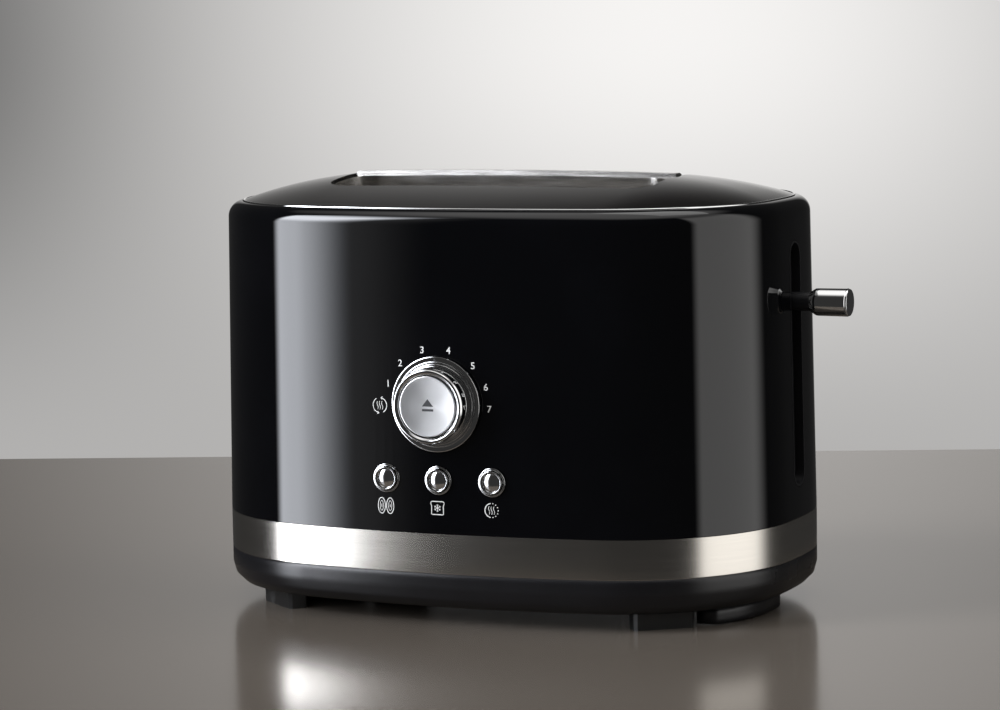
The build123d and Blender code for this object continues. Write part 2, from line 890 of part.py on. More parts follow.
def lever_channel():
    """Dark trough let into the shell's end, with the slot that the lever arm runs in."""
    deep_zone = leaning_slab(channel_depth + channel_floor)
    floor_zone = leaning_slab(channel_depth)
    reach = (body_half_length / 2, body_half_length + 1)
    body = obround_along_x(
        channel_width + 2 * channel_rim, channel_low - channel_rim, channel_high + channel_rim, reach
    )
    trough = obround_along_x(channel_width, channel_low, channel_high, reach)
    slot = obround_along_x(channel_slot_width, channel_low + channel_rim, channel_high - channel_rim, reach)
    rim = (body & leaning_slab(0.0)) - deep_zone
    return rim - (trough - floor_zone) - slot


# Mechanism bay


def guide_rod():
    """Polished rod that the carriage slides on, from the frame to its bracket."""
    return rod((rod_x, 0, frame_top), (rod_x, 0, rod_bracket_height + sheet), rod_radius)


def rod_bracket():
    """Angle on the end plate that holds the top of the rod and the spring's upper hook."""
    face = chamber_half_length + sheet
    half = rod_bracket_width / 2
    leg_low = rod_bracket_height - rod_bracket_leg
    angle = block((face, face + sheet), (-half, half), (leg_low, rod_bracket_height))
    angle += block((face, sleeve_outer), (-half, half), (rod_bracket_height, rod_bracket_height + sheet))
    hole = rod((rod_x, 0, rod_bracket_height - 1), (rod_x, 0, rod_bracket_height + 2), rod_radius + pin_gap)
    return angle - hole


def return_spring():
    """Coil that lifts the carriage, hung from the rod bracket."""
    low = rack_top - rack_depth + bracket_height - (bracket_height - rack_depth) / 2
    high = rod_bracket_height
    coil_low = low + spring_wire
    coil_height = high - low - 2 * spring_wire
    points = []
    for index in range(spring_turns * spring_points + 1):
        turn = 2 * math.pi * index / spring_points
        rise = coil_height * index / (spring_turns * spring_points)
        points.append((spring_radius * math.cos(turn), spring_radius * math.sin(turn), rise))
    path = Polyline(*points)
    section = Plane(origin=path @ 0, z_dir=path % 0) * RegularPolygon(spring_wire, spring_sides)
    coil = sweep(section, path=path, transition=Transition.RIGHT)
    return Pos(rod_x, -spring_offset, coil_low) * coil


def square_post(width, low, high):
    """An upright square bar on the magnet's axis."""
    half = width / 2
    return block((rod_x - half, rod_x + half), (magnet_offset - half, magnet_offset + half), (low, high))


def magnet_core():
    """Iron post and foot of the latch magnet."""
    foot = square_post(magnet_width, frame_top, frame_top + keeper_thickness)
    return foot + square_post(magnet_core_width, frame_top, magnet_top)


def magnet_coil():
    """Winding on its square bobbin round the magnet's post."""
    low = frame_top + keeper_thickness
    high = magnet_top - sheet
    core_room = square_post(magnet_core_width + 2 * pin_gap, low, high)
    return square_post(magnet_coil_width, low, high) - core_room


def power_contacts():
    """Switch block that the carriage closes at the foot of its travel."""
    half = contact_block / 2
    y = -2 * spring_offset
    block_top = frame_top + half
    body = block((rod_x - half, rod_x + half), (y - half, y + half), (frame_top, block_top))
    for offset in (-half / 2, half / 2):
        body += block(
            (rod_x - half, rod_x + half - 1),
            (y + offset - 1, y + offset + 1),
            (block_top, block_top + 1),
        )
    return body


# Controls on the front


def control_board():
    """Circuit board behind the dial and the buttons."""
    return block((-board_half_length, board_half_length), (board_front, board_back), (board_low, board_high))


def board_brackets():
    """Two angles that stand on the frame and carry the board."""
    brackets = []
    for side in (-1, 1):
        span = sorted((side * board_half_length, side * (board_half_length - board_strip_width)))
        upright = block(span, (board_back, board_back + sheet), (frame_top, board_high))
        foot = block(span, (board_back, board_back + board_strip_width), (frame_top, frame_top + sheet))
        brackets.append(upright + foot)
    return Compound(children=brackets)


def dial_front():
    return front_y - dial_protrusion


def dial_bushing():
    """Fixed control body on the board, with the hollow bushing that the dial turns on."""
    tip = dial_front() + dial_cup_depth - rest_gap
    shoulder = board_front - pot_depth
    half_pot = pot_width / 2
    half_bore = bushing_bore / 2
    heights = (dial_height - half_pot, dial_height + half_pot)
    body = block((-half_pot, half_pot), (shoulder, board_front), heights)
    body += round_bar((0, tip, dial_height), (0, shoulder, dial_height), bushing_radius, button_sides)
    return body - block(
        (-half_bore, half_bore),
        (tip, board_front),
        (dial_height - half_bore, dial_height + half_bore),
    )


def shade_dial():
    """Stepped dial: thin skirt, round body and an open cup for the cancel button."""
    front = dial_front()
    skirt_back = front_y + lean(dial_height) - slide_gap
    skirt_front = skirt_back - dial_skirt_thickness
    cup_floor = front + dial_cup_depth
    bore = bushing_radius + pin_gap
    front_spot = (0, front, dial_height)
    back_spot = (0, skirt_back, dial_height)
    cup_spot = (0, cup_floor, dial_height)
    body = round_bar(front_spot, back_spot, dial_front_radius, dial_sides)
    body = chamfer(body.faces().sort_by(Axis.Y)[0].edges(), dial_edge_chamfer)
    skirt = round_bar((0, skirt_front, dial_height), back_spot, dial_skirt_radius, dial_sides)
    dial = body + skirt - round_bar(front_spot, cup_spot, dial_bore_radius, dial_sides)
    dial -= rod(cup_spot, back_spot, bore)
    middle_radius = (dial_skirt_radius + dial_front_radius) / 2
    half_pointer = dial_pointer_width / 2
    return dial - block(
        (-half_pointer, half_pointer),
        (skirt_front - 1, skirt_front + half_pointer),
        (dial_height + middle_radius - 1, dial_height + middle_radius + 1),
    )


def cancel_button():
    """Round button in the dial's cup, on a square stem that passes through the bushing."""
    face_y = dial_front() + dial_edge_chamfer
    stem_end = board_front - switch_plunger - cancel_travel - fit_gap
    half = cancel_stem / 2
    back_y = face_y + cancel_thickness
    disc = round_bar((0, face_y, dial_height), (0, back_y, dial_height), cancel_radius, dial_sides)
    return disc + block((-half, half), (face_y + 1, stem_end), (dial_height - half, dial_height + half))


def button_surface(x):
    """Where the shell's face lies behind a button."""
    return front_y + bow_rise(abs(x), front_radius) + lean(button_height)


def button_face(radius, x, y):
    """A many sided disc that faces the front on a button's axis, and keeps the small mesh light."""
    return Plane(origin=(x, y, button_height), z_dir=(0, -1, 0)) * RegularPolygon(radius, button_sides)


def button_bezel(x):
    """Chromed collar pressed into the shell round a button."""
    back = button_surface(x) - bezel_proud + bezel_length
    lip = bezel_width / 3
    ring = extrude(button_face(bezel_radius, x, back), bezel_length)
    ring = chamfer(ring.faces().sort_by(Axis.Y)[0].edges(), lip)
    return ring - extrude(button_face(bezel_radius - bezel_width, x, back), bezel_length)


def push_button(x):
    """Polished button with a raised rim round its dome, on a stem that reaches its switch."""
    surface = button_surface(x)
    rim_front = surface - button_proud
    back = surface + bezel_length / 2
    groove = rim_front + button_rim
    body = extrude(button_face(button_radius, x, back), back - rim_front)
    body -= extrude(button_face(button_radius - button_rim, x, groove), button_rim)
    dome = extrude(button_face(button_dome_radius, x, groove), button_dome_rise)
    dome_rim = dome.faces().sort_by(Axis.Y)[0].edges()
    body += chamfer(dome_rim, button_dome_rise * 3 / 4, button_dome_rise * 2)
    stem_end = board_front - switch_body - switch_plunger - button_travel - fit_gap
    half = button_stem_width / 2
    stem = block((x - half, x + half), (back, stem_end), (button_height - half, button_height + half))
    return body + stem


def tact_switches():
    """Three switches behind the buttons and the small one inside the bushing."""
    switches = []
    half = switch_size / 2
    plunger_half = switch_plunger_width / 2
    for place in (-1, 0, 1):
        x = place * button_pitch
        face = board_front - switch_body
        case = block((x - half, x + half), (face, board_front), (button_height - half, button_height + half))
        plunger = block(
            (x - plunger_half, x + plunger_half),
            (face - switch_plunger, face),
            (button_height - plunger_half, button_height + plunger_half),
        )
        switches.append(case + plunger)
    inner = block(
        (-plunger_half, plunger_half),
        (board_front - switch_plunger, board_front),
        (dial_height - plunger_half, dial_height + plunger_half),
    )
    switches.append(inner)
    return Compound(children=switches)


# Crumb tray


def crumb_tray():
    """Shallow steel pan under the chamber."""
    outer = block(
        (-tray_half_width, tray_half_width),
        (-tray_inner_end, body_half_depth),
        (tray_bottom, tray_bottom + tray_depth),
    )
    inner = block(
        (-tray_half_width + tray_wall, tray_half_width - tray_wall),
        (-tray_inner_end + tray_wall, body_half_depth),
        (tray_bottom + tray_wall, tray_bottom + tray_depth),
    )
    return (outer - inner) & base_cavity()


def crumb_tray_front():
    """The tray's front, which continues the base's rounded wall, with grip grooves."""
    window = tray_window(tray_front_half_width, tray_bottom, tray_bottom + tray_front_height)
    face = (base_block() - base_cavity()) & window
    for index in range(3):
        z = tray_bottom + tray_front_height - (index + 1) * tray_grip_pitch
        half = tray_front_half_width / 3
        face -= block(
            (-half, half),
            (body_half_depth - tray_grip_depth, body_half_depth + 1),
            (z - tray_grip_depth, z + tray_grip_depth),
        )
    return face


def nodes():
    """Every piece by the name of its node."""
    pieces = {
        "outer_shell": outer_shell(),
        "top_cover": top_cover(),
        "slot_insert": slot_insert(),
        "slot_divider": slot_divider(),
        "steel_band": steel_band(),
        "base_shell": base_shell(),
        "base_screws": base_screws(),
        "lever_channel": lever_channel(),
        "chassis_frame": chassis_frame(),
        "guide_rod": guide_rod(),
        "rod_bracket": rod_bracket(),
        "return_spring": return_spring(),
        "magnet_core": magnet_core(),
        "magnet_coil": magnet_coil(),
        "power_contacts": power_contacts(),
        "carriage_bracket": carriage_bracket(),
        "keeper_plate": keeper_plate(),
        "lever_arm": lever_arm(),
        "lever_stem": lever_stem(),
        "lever_knob": lever_knob(),
        "control_board": control_board(),
        "board_brackets": board_brackets(),
        "tact_switches": tact_switches(),
        "dial_bushing": dial_bushing(),
        "shade_dial": shade_dial(),
        "cancel_button": cancel_button(),
        "crumb_tray": crumb_tray(),
        "crumb_tray_front": crumb_tray_front(),
    }
    for side_x, x_name in ((-1, "left"), (1, "right")):
        pieces[f"end_plate_{x_name}"] = end_plate(side_x)
        pieces[f"cord_cleat_{x_name}"] = cord_cleat(side_x)
        for side_y, y_name in ((-1, "front"), (1, "rear")):
            pieces[f"foot_{y_name}_{x_name}"] = base_foot(side_x, side_y)
    for side, name in ((-1, "front"), (1, "rear")):
        pieces[f"heat_shield_{name}"] = heat_shield(side)
        pieces[f"bread_rack_{name}"] = bread_rack(side * slot_centre)
        pieces[f"heater_card_{name}"] = heater_card(side * card_offset)
        pieces[f"heater_ribbon_{name}_outer"] = heater_ribbon(side * card_offset, -side)
        pieces[f"heater_ribbon_{name}_inner"] = heater_ribbon(0.0, side)
    pieces["heater_card_centre"] = heater_card(0.0)
    for name, (centre, closing) in cage_places().items():
        pieces[f"guide_cage_{name}"] = guide_cage(centre, -closing)
    for place, name in ((-1, "bagel"), (0, "frozen"), (1, "reheat")):
        pieces[f"{name}_button"] = push_button(place * button_pitch)
        pieces[f"{name}_bezel"] = button_bezel(place * button_pitch)
    return pieces


def main():
    middle_x = (lever_tip - body_half_length) / 2
    middle_y = (body_half_depth + dial_front()) / 2
    to_row = Pos(-middle_x, -middle_y, 0)
    os.makedirs("parts", exist_ok=True)
    for name, piece in nodes().items():
        export_step(to_row * piece, f"parts/{name}.step")
    print(f"origin lies at x {middle_x:.3f}, y {middle_y:.3f} of the body")


main()
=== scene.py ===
import bmesh
import bpy
import json
import math
from mathutils import Matrix, Vector


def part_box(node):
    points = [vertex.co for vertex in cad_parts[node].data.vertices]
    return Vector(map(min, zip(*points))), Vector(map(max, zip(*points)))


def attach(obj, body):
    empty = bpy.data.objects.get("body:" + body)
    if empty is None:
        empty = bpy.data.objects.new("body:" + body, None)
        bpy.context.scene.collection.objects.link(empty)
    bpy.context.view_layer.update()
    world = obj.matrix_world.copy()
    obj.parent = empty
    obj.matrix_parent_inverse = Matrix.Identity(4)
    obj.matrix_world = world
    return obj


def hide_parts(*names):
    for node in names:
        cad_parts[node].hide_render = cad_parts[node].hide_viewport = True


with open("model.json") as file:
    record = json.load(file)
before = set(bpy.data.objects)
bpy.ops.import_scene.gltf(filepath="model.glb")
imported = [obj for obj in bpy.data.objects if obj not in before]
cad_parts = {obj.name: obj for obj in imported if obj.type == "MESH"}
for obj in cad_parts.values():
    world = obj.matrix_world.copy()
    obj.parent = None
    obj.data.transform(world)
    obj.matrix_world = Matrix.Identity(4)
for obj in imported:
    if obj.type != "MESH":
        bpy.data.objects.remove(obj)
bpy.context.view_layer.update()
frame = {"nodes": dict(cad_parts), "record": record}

# The body's middle in the row frame, in metres: pieces below are drawn about the body's own middle.
MIDDLE = Vector((-0.012, 0.00535, 0.0))

# Body plan and heights, as in the solids
HALF_LENGTH = 0.136
HALF_DEPTH = 0.0923
FRONT_BOW = 0.02015
END_BOW = 0.0152
CORNER = 0.0762
BASE_TOP = 0.0241
BAND_TOP = 0.0418
SHELL_HEIGHT = 0.1426
SHELL_LEAN = 0.00195
SEAM = BAND_TOP + SHELL_HEIGHT
SHOULDER = 0.0071
SEAM_INSET = 0.0089
LEDGE = SEAM - 0.0016
LEDGE_WIDTH = 0.004
SHELL_WALL = 0.002
BAND_WALL = 0.0012
EDGE = 0.0003
FIT_GAP = 0.0002
CORNER_STEPS = 30
FRONT_STEPS = 16
END_STEPS = 4

# The dome over the slots
DOME_RISE = 0.0121
DOME_FALL_ALONG = 4.2
DOME_FALL_ACROSS = 1.4
DOME_SHARES = (0, 0.02, 0.05, 0.1, 0.16, 0.23, 0.3, 0.38, 0.46, 0.54, 0.62, 0.7, 0.77, 0.83, 0.88)
OPENING_HALF_LENGTH = 0.0800
OPENING_HALF_DEPTH = 0.0410
OPENING_CORNER = 0.0140

# Front controls
DIAL_HEIGHT = 0.0995
DIAL_FRONT = -0.1030
DIAL_BORE = 0.00508
DIAL_CUP = 0.0140
DIAL_CUP_DEPTH = 0.007
DIAL_HOLE = 0.0058
SKIRT_RADIUS = 0.02115
SKIRT_BACK = -0.09191
SKIRT_FRONT = -0.09421
SKIRT_GROOVE = 0.0004
DISC_RADIUS = 0.0134
DISC_FRONT = DIAL_FRONT + 0.0006
DISC_THICKNESS = 0.0022
DISH_DEPTH = 0.0005
DISH_SHARE = 0.94
BUTTON_HEIGHT = 0.0657
BUTTON_PITCH = 0.0254
BUTTON_RADIUS = 0.0052
BUTTON_REACH = 0.0022
BUTTON_BACK = 0.0025
BUTTON_GROOVE = 0.0007
BUTTON_HOLE = 0.0066
DOME_RADIUS = 0.0042
DOME_HEIGHT = 0.0014
COLLAR_INNER = 0.0055
COLLAR_OUTER = 0.0064
COLLAR_REACH = 0.0008
COLLAR_BACK = 0.0042
STEM_RADIUS = 0.002
STEM_END = -0.0772
SWITCH_END = -0.0804

# Lever channel and lever
CHANNEL_HOLE_WIDTH = 0.0154
CHANNEL_HOLE_LOW = 0.0556
CHANNEL_HOLE_HIGH = 0.1664
LEVER_TIP = 0.160
KNOB_LENGTH = 0.018
KNOB_RADIUS = 0.0063
KNOB_NECK = 0.0046

# Meshing
SHARP_ANGLE = 28
MERGE_DISTANCE = 0.0000005

# The photograph's camera
CAMERA_PLACE = Vector((0.632227, -1.463256, 0.289347)) + MIDDLE
CAMERA_YAW = 0.413477
CAMERA_PITCH = 0.111279
CAMERA_ROLL = -0.0178836
CAMERA_LENS = 124.97


def make_camera():
    """Camera at the photograph's point of view."""
    data = bpy.data.cameras.new("camera")
    data.sensor_width = 36.0
    data.lens = CAMERA_LENS
    data.clip_start = 0.05
    data.clip_end = 50.0
    camera = bpy.data.objects.new("camera", data)
    bpy.context.scene.collection.objects.link(camera)
    ahead = Vector((
        -math.sin(CAMERA_YAW) * math.cos(CAMERA_PITCH),
        math.cos(CAMERA_YAW) * math.cos(CAMERA_PITCH),
        -math.sin(CAMERA_PITCH),
    ))
    level = Vector((math.cos(CAMERA_YAW), math.sin(CAMERA_YAW), 0))
    above = level.cross(ahead)
    right = level * math.cos(CAMERA_ROLL) + above * math.sin(CAMERA_ROLL)
    up = -level * math.sin(CAMERA_ROLL) + above * math.cos(CAMERA_ROLL)
    turn = Matrix((right, up, -ahead)).transposed()
    camera.matrix_world = Matrix.Translation(CAMERA_PLACE) @ turn.to_4x4()
    bpy.context.scene.camera = camera


# Shader wiring


class Wire:
    """One shader output that can be used in sums like a number."""

    def __init__(self, graph, socket):
        self.graph = graph
        self.socket = socket

    def maths(self, operation, *others):
        return self.graph.node("ShaderNodeMath", [self, *others], operation=operation)

    def __add__(self, other):
        return self.maths("ADD", other)

    def __sub__(self, other):
        return self.maths("SUBTRACT", other)

    def __mul__(self, other):
        return self.maths("MULTIPLY", other)

    def __radd__(self, other):
        return self + other

    def __rsub__(self, other):
        return self * -1.0 + other

    def __rmul__(self, other):
        return self * other

    def power(self, other):
        return self.maths("POWER", other)

    def above(self, low, high):
        """0 below low, 1 above high, smooth between."""
        return self.graph.node(
            "ShaderNodeMapRange", [self, low, high, 0.0, 1.0], interpolation_type="SMOOTHSTEP"
        )

    def between(self, low, high):
        """Spreads 0 to 1 over a new range."""
        return self * (high - low) + low


class Graph:
    """A node tree wired by calls."""

    def __init__(self, tree):
        self.tree = tree

    def node(self, kind, inputs, output=0, **settings):
        made = self.tree.nodes.new(kind)
        for key, value in settings.items():
            setattr(made, key, value)
        places = inputs.items() if isinstance(inputs, dict) else enumerate(inputs)
        for place, value in places:
            if isinstance(value, Wire):
                self.tree.links.new(value.socket, made.inputs[place])
            else:
                made.inputs[place].default_value = value
        return Wire(self, made.outputs[output])

    def axis(self, vector, index):
        """One of a vector's three numbers."""
        return self.node("ShaderNodeSeparateXYZ", [vector], output=index)

    def mixed(self, share, low, high):
        return self.node("ShaderNodeMix", {0: share, 6: low, 7: high}, output=2, data_type="RGBA")


class Paint(Graph):
    """A material built from one shader and a few procedural layers."""

    def __init__(self, name, metallic=0.0, **fixed):
        self.material = bpy.data.materials.new(name)
        self.material.use_nodes = True
        super().__init__(self.material.node_tree)
        self.shader = self.tree.nodes["Principled BSDF"]
        self.shader.inputs["Metallic"].default_value = metallic
        for socket, value in fixed.items():
            self.shader.inputs[socket.replace("_", " ")].default_value = value
        self.place = self.node("ShaderNodeTexCoord", [], output="Object")

    def stretched(self, x, y, z):
        """Object coordinates scaled along each axis."""
        return self.node("ShaderNodeMapping", {"Vector": self.place, "Scale": (x, y, z)})

    def noise(self, scale, detail=3.0, rough=0.55, where=None):
        inputs = {"Vector": where or self.place, "Scale": scale, "Detail": detail, "Roughness": rough}
        return self.node("ShaderNodeTexNoise", inputs)

    def cells(self, scale, where=None):
        inputs = {"Vector": where or self.place, "Scale": scale}
        return self.node("ShaderNodeTexVoronoi", inputs, output="Distance")

    def edge_wear(self, radius):
        """1 along sharp outer edges, 0 on flat faces."""
        bevel = self.node("ShaderNodeBevel", {"Radius": radius}, samples=4)
        normal = self.node("ShaderNodeNewGeometry", [], output="Normal")
        pair = [bevel, normal]
        alike = self.node("ShaderNodeVectorMath", pair, output="Value", operation="DOT_PRODUCT")
        return (1.0 - alike).above(0.02, 0.25)

    def finish(self, colour, roughness, bump=None, depth=0.0001, strength=0.3, rounding=0.0):
        """Wires the layers in; rounding softens the shading of edges by that radius."""
        self._into("Base Color", colour)
        self._into("Roughness", roughness)
        if bump is not None:
            lumps = {"Strength": strength, "Distance": depth, "Height": bump}
            if rounding:
                lumps["Normal"] = self.node("ShaderNodeBevel", {"Radius": rounding}, samples=8)
            self._into("Normal", self.node("ShaderNodeBump", lumps))
        return self.material

    def _into(self, socket, value):
        if isinstance(value, Wire):
            self.tree.links.new(value.socket, self.shader.inputs[socket])
        else:
            self.shader.inputs[socket].default_value = value


def grey(level, warm=0.0):
    """A grey that warmth shifts from blue to red."""
    return (level * (1 + warm), level, level * (1 - warm), 1.0)


def scaled(colour, factor):
    """The same colour, lighter or darker."""
    return tuple(part * factor for part in colour[:3]) + (1.0,)


def black_gloss():
    """Deep black gloss with faint smears and a little dust."""
    paint = Paint("black_gloss", IOR=1.5)
    smears = paint.noise(16.0, 4.0).above(0.45, 0.75)
    dust = paint.noise(900.0, 2.0).above(0.68, 0.82)
    base = paint.mixed(smears, (0.0012, 0.0013, 0.0018, 1), (0.0018, 0.0019, 0.0026, 1))
    rough = smears.between(0.03, 0.055) + dust * 0.05
    return paint.finish(base, rough, paint.noise(240.0, 1.0), 0.00002, 0.06)


def black_cover():
    """The cover's slightly softer black."""
    paint = Paint("black_cover", IOR=1.5)
    smears = paint.noise(22.0, 4.0).above(0.4, 0.75)
    dust = paint.noise(1200.0, 2.0).above(0.62, 0.8)
    base = paint.mixed(smears, (0.0042, 0.0036, 0.0034, 1), (0.0062, 0.0054, 0.0050, 1))
    rough = smears.between(0.08, 0.12) + dust * 0.05
    return paint.finish(base, rough, paint.noise(500.0, 2.0), 0.00003, 0.12)


def brushed(name, colour, low, high, lines, along, depth=0.00002):
    """Steel with brush lines; the lines run along the axes whose stretch is small."""
    paint = Paint(name, metallic=1.0, Anisotropic=0.5)
    grain_place = paint.stretched(*along)
    fine = paint.noise(lines, 3.0, 0.7, grain_place)
    broad = paint.noise(lines / 5, 2.0, 0.5, grain_place)
    cloud = paint.noise(60.0, 4.0)
    shade = (fine * 0.7 + broad * 0.3).above(0.25, 0.75)
    base = paint.mixed(shade, scaled(colour, 0.9), colour)
    rough = (shade * 0.8 + cloud * 0.2).between(low, high)
    return paint.finish(base, rough, fine, depth, 0.35)


def sheet_steel(name, colour, low=0.3, high=0.5):
    """Rolled and zinc coated sheet with a faint spangle."""
    paint = Paint(name, metallic=1.0)
    spangle = paint.cells(160.0)
    stain = paint.noise(70.0, 5.0).above(0.2, 0.85)
    wear = paint.edge_wear(0.0008)
    tone = (spangle * 0.6 + stain * 0.4).above(0.1, 0.9)
    base = paint.mixed(tone, scaled(colour, 0.84), colour)
    base = paint.mixed(wear * 0.5, base, grey(0.82))
    return paint.finish(base, stain.between(low, high), paint.noise(700.0, 2.0), 0.00002, 0.2)


def plastic(name, colour, low, high, grain=2200.0, depth=0.00004, rounding=0.0):
    """Moulded plastic with a fine spark-eroded grain, rubbed smoother along its edges."""
    paint = Paint(name, IOR=1.46)
    texture = paint.cells(grain)
    cloud = paint.noise(25.0, 4.0)
    wear = paint.edge_wear(0.0012)
    lighter = tuple(part * 1.5 + 0.004 for part in colour[:3]) + (1.0,)
    base = paint.mixed(cloud.above(0.4, 0.8) * 0.6, colour, lighter)
    rough = cloud.between(low, high) - wear * 0.12
    return paint.finish(base, rough, texture, depth, 0.5, rounding)


def foot_rubber():
    """Soft black rubber, dusty and scuffed at its edges."""
    paint = Paint("foot_rubber", IOR=1.5)
    dust = paint.noise(120.0, 5.0).above(0.45, 0.8)
    scuff = paint.edge_wear(0.001)
    base = paint.mixed(dust * 0.5 + scuff * 0.3, (0.008, 0.008, 0.008, 1), (0.035, 0.034, 0.032, 1))
    return paint.finish(base, dust.between(0.38, 0.6), paint.noise(900.0, 3.0), 0.00008, 0.4)


def chrome(name, tint=0.78, low=0.03, high=0.08):
    """Bright plating with faint clouds and fine upright marks."""
    paint = Paint(name, metallic=1.0)
    cloud = paint.noise(60.0, 4.0).above(0.4, 0.8)
    marks = paint.noise(1500.0, 2.0, 0.6, paint.stretched(1.0, 1.0, 0.15)).above(0.62, 0.72)
    base = paint.mixed(cloud, grey(tint, -0.005), grey(tint * 0.93, -0.005))
    rough = cloud.between(low, high) + marks * 0.05
    return paint.finish(base, rough, paint.noise(350.0, 1.0), 0.00001, 0.1)


def spun_steel(name, centre, colour, low, high):
    """Satin disc turned on a lathe: fine rings about its centre, facing -Y."""
    paint = Paint(name, metallic=1.0)
    across = paint.axis(paint.place, 0) - centre.x
    up = paint.axis(paint.place, 2) - centre.z
    radius = (across * across + up * up).power(0.5)
    along_radius = {"W": radius * 4200.0, "Detail": 2.0}
    rings = paint.node("ShaderNodeTexNoise", along_radius, noise_dimensions="1D")
    cloud = paint.noise(40.0, 3.0)
    base = paint.mixed(rings.above(0.3, 0.7), scaled(colour, 0.85), colour)
    return paint.finish(base, (rings * 0.6 + cloud * 0.4).between(low, high), rings, 0.00002, 0.5)


def mica():
    """Flaky mica sheet with specks and scorched patches."""
    paint = Paint("mica", IOR=1.58)
    flakes = paint.cells(90.0, paint.stretched(1.0, 1.0, 1.6))
    specks = paint.noise(600.0, 4.0).above(0.55, 0.8)
    scorch = paint.noise(9.0, 3.0).above(0.45, 0.75)
    base = paint.mixed(flakes.above(0.1, 0.9), (0.50, 0.43, 0.31, 1), (0.68, 0.61, 0.47, 1))
    base = paint.mixed(specks * 0.5, base, (0.30, 0.24, 0.16, 1))
    base = paint.mixed(scorch * 0.4, base, (0.36, 0.27, 0.17, 1))
    return paint.finish(base, specks.between(0.28, 0.5), flakes, 0.0001, 0.35)


def copper_winding():
    """Enamelled copper wire wound in level turns, darker in the grooves between them as painted shade.
    """
    paint = Paint("copper_winding", metallic=1.0)
    inputs = {"Vector": paint.place, "Scale": 620.0}
    turns = paint.node("ShaderNodeTexWave", inputs, bands_direction="Z")
    # The copper colour darkens in the grooves between the turns: painted shade; the bump gives their
    # relief.
    base = paint.mixed(turns, (0.20, 0.07, 0.025, 1), (0.68, 0.30, 0.12, 1))
    return paint.finish(base, turns.between(0.42, 0.2), turns, 0.0002, 0.8)


def circuit_board():
    """Green laminate with raised tracks."""
    paint = Paint("board_laminate", IOR=1.5)
    tracks = paint.cells(260.0, paint.stretched(1.0, 0.2, 1.0)).above(0.35, 0.42)
    cloud = paint.noise(50.0, 3.0)
    base = paint.mixed(tracks, (0.05, 0.20, 0.11, 1), (0.025, 0.12, 0.06, 1))
    return paint.finish(base, cloud.between(0.25, 0.4), tracks, 0.00005, 0.5)


def ink(name, colour):
    """Pad-printed marking, a little uneven."""
    paint = Paint(name, IOR=1.45)
    wear = paint.noise(900.0, 3.0).above(0.35, 0.6)
    return paint.finish(paint.mixed(wear, scaled(colour, 0.86), colour), wear.between(0.5, 0.38))


def floor_paint():
    """Warm grey floor with a soft sheen; reflections show it only near the object."""
    paint = Paint("warm_floor", IOR=1.3)
    cloud = paint.noise(3.0, 3.0)
    fine = paint.noise(240.0, 3.0)
    base = paint.mixed(cloud * 0.7 + fine * 0.3, grey(0.085, 0.16), grey(0.105, 0.16))
    paint.finish(base, cloud.between(0.13, 0.18), fine, 0.00002, 0.1)
    mirrored = paint.node("ShaderNodeLightPath", [], output="Is Glossy Ray")
    across, along = paint.axis(paint.place, 0), paint.axis(paint.place, 1)
    far = (across * across + along * along).above(0.03, 0.06)
    clear = paint.node("ShaderNodeBsdfTransparent", [])
    solid = Wire(paint, paint.shader.outputs[0])
    both = paint.node("ShaderNodeMixShader", [mirrored * far, solid, clear])
    paint.tree.links.new(both.socket, paint.tree.nodes["Material Output"].inputs["Surface"])
    return paint.material


# Pieces


def add_piece(name, mesh, material, body, stands_for=None, flats=False):
    """Links a finished mesh as a piece that rides on a body; flats keep their own plain shading."""
    piece = bpy.data.objects.new(name, mesh)
    bpy.context.scene.collection.objects.link(piece)
    mesh.materials.clear()
    mesh.materials.append(material)
    if flats:
        weights = piece.modifiers.new("flats", "WEIGHTED_NORMAL")
        weights.keep_sharp = True
    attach(piece, body)
    if stands_for:
        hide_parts(stands_for)


def finished(name, bm, sharp=SHARP_ANGLE):
    """A mesh about the body's middle, moved to its place, smooth but for its sharp edges."""
    bmesh.ops.translate(bm, verts=bm.verts, vec=MIDDLE)
    mesh = bpy.data.meshes.new(name)
    bm.to_mesh(mesh)
    bm.free()
    mesh.shade_smooth()
    mesh.set_sharp_from_angle(angle=math.radians(sharp))
    return mesh


def bow_radius(half_chord, rise):
    """Radius of the shallow arc that rises so much over half its chord."""
    return (half_chord**2 + rise**2) / (2 * rise)


def bow_rise(half_chord, radius):
    """How far an arc rises over half its chord."""
    return radius - math.sqrt(radius**2 - half_chord**2)


FRONT_RADIUS = bow_radius(HALF_LENGTH, FRONT_BOW)
END_RADIUS = bow_radius(HALF_DEPTH, END_BOW)


def leaning(z):
    """How far the leaning shell has moved in at a height."""
    return SHELL_LEAN * (z - BAND_TOP) / SHELL_HEIGHT


def swept(centre, radius, start, end, steps):
    """Points of an arc, its angles measured from -Y towards +X."""
    turns = [start + (end - start) * i / steps for i in range(steps)]
    return [(centre.x + radius * math.sin(t), centre.y - radius * math.cos(t)) for t in turns]


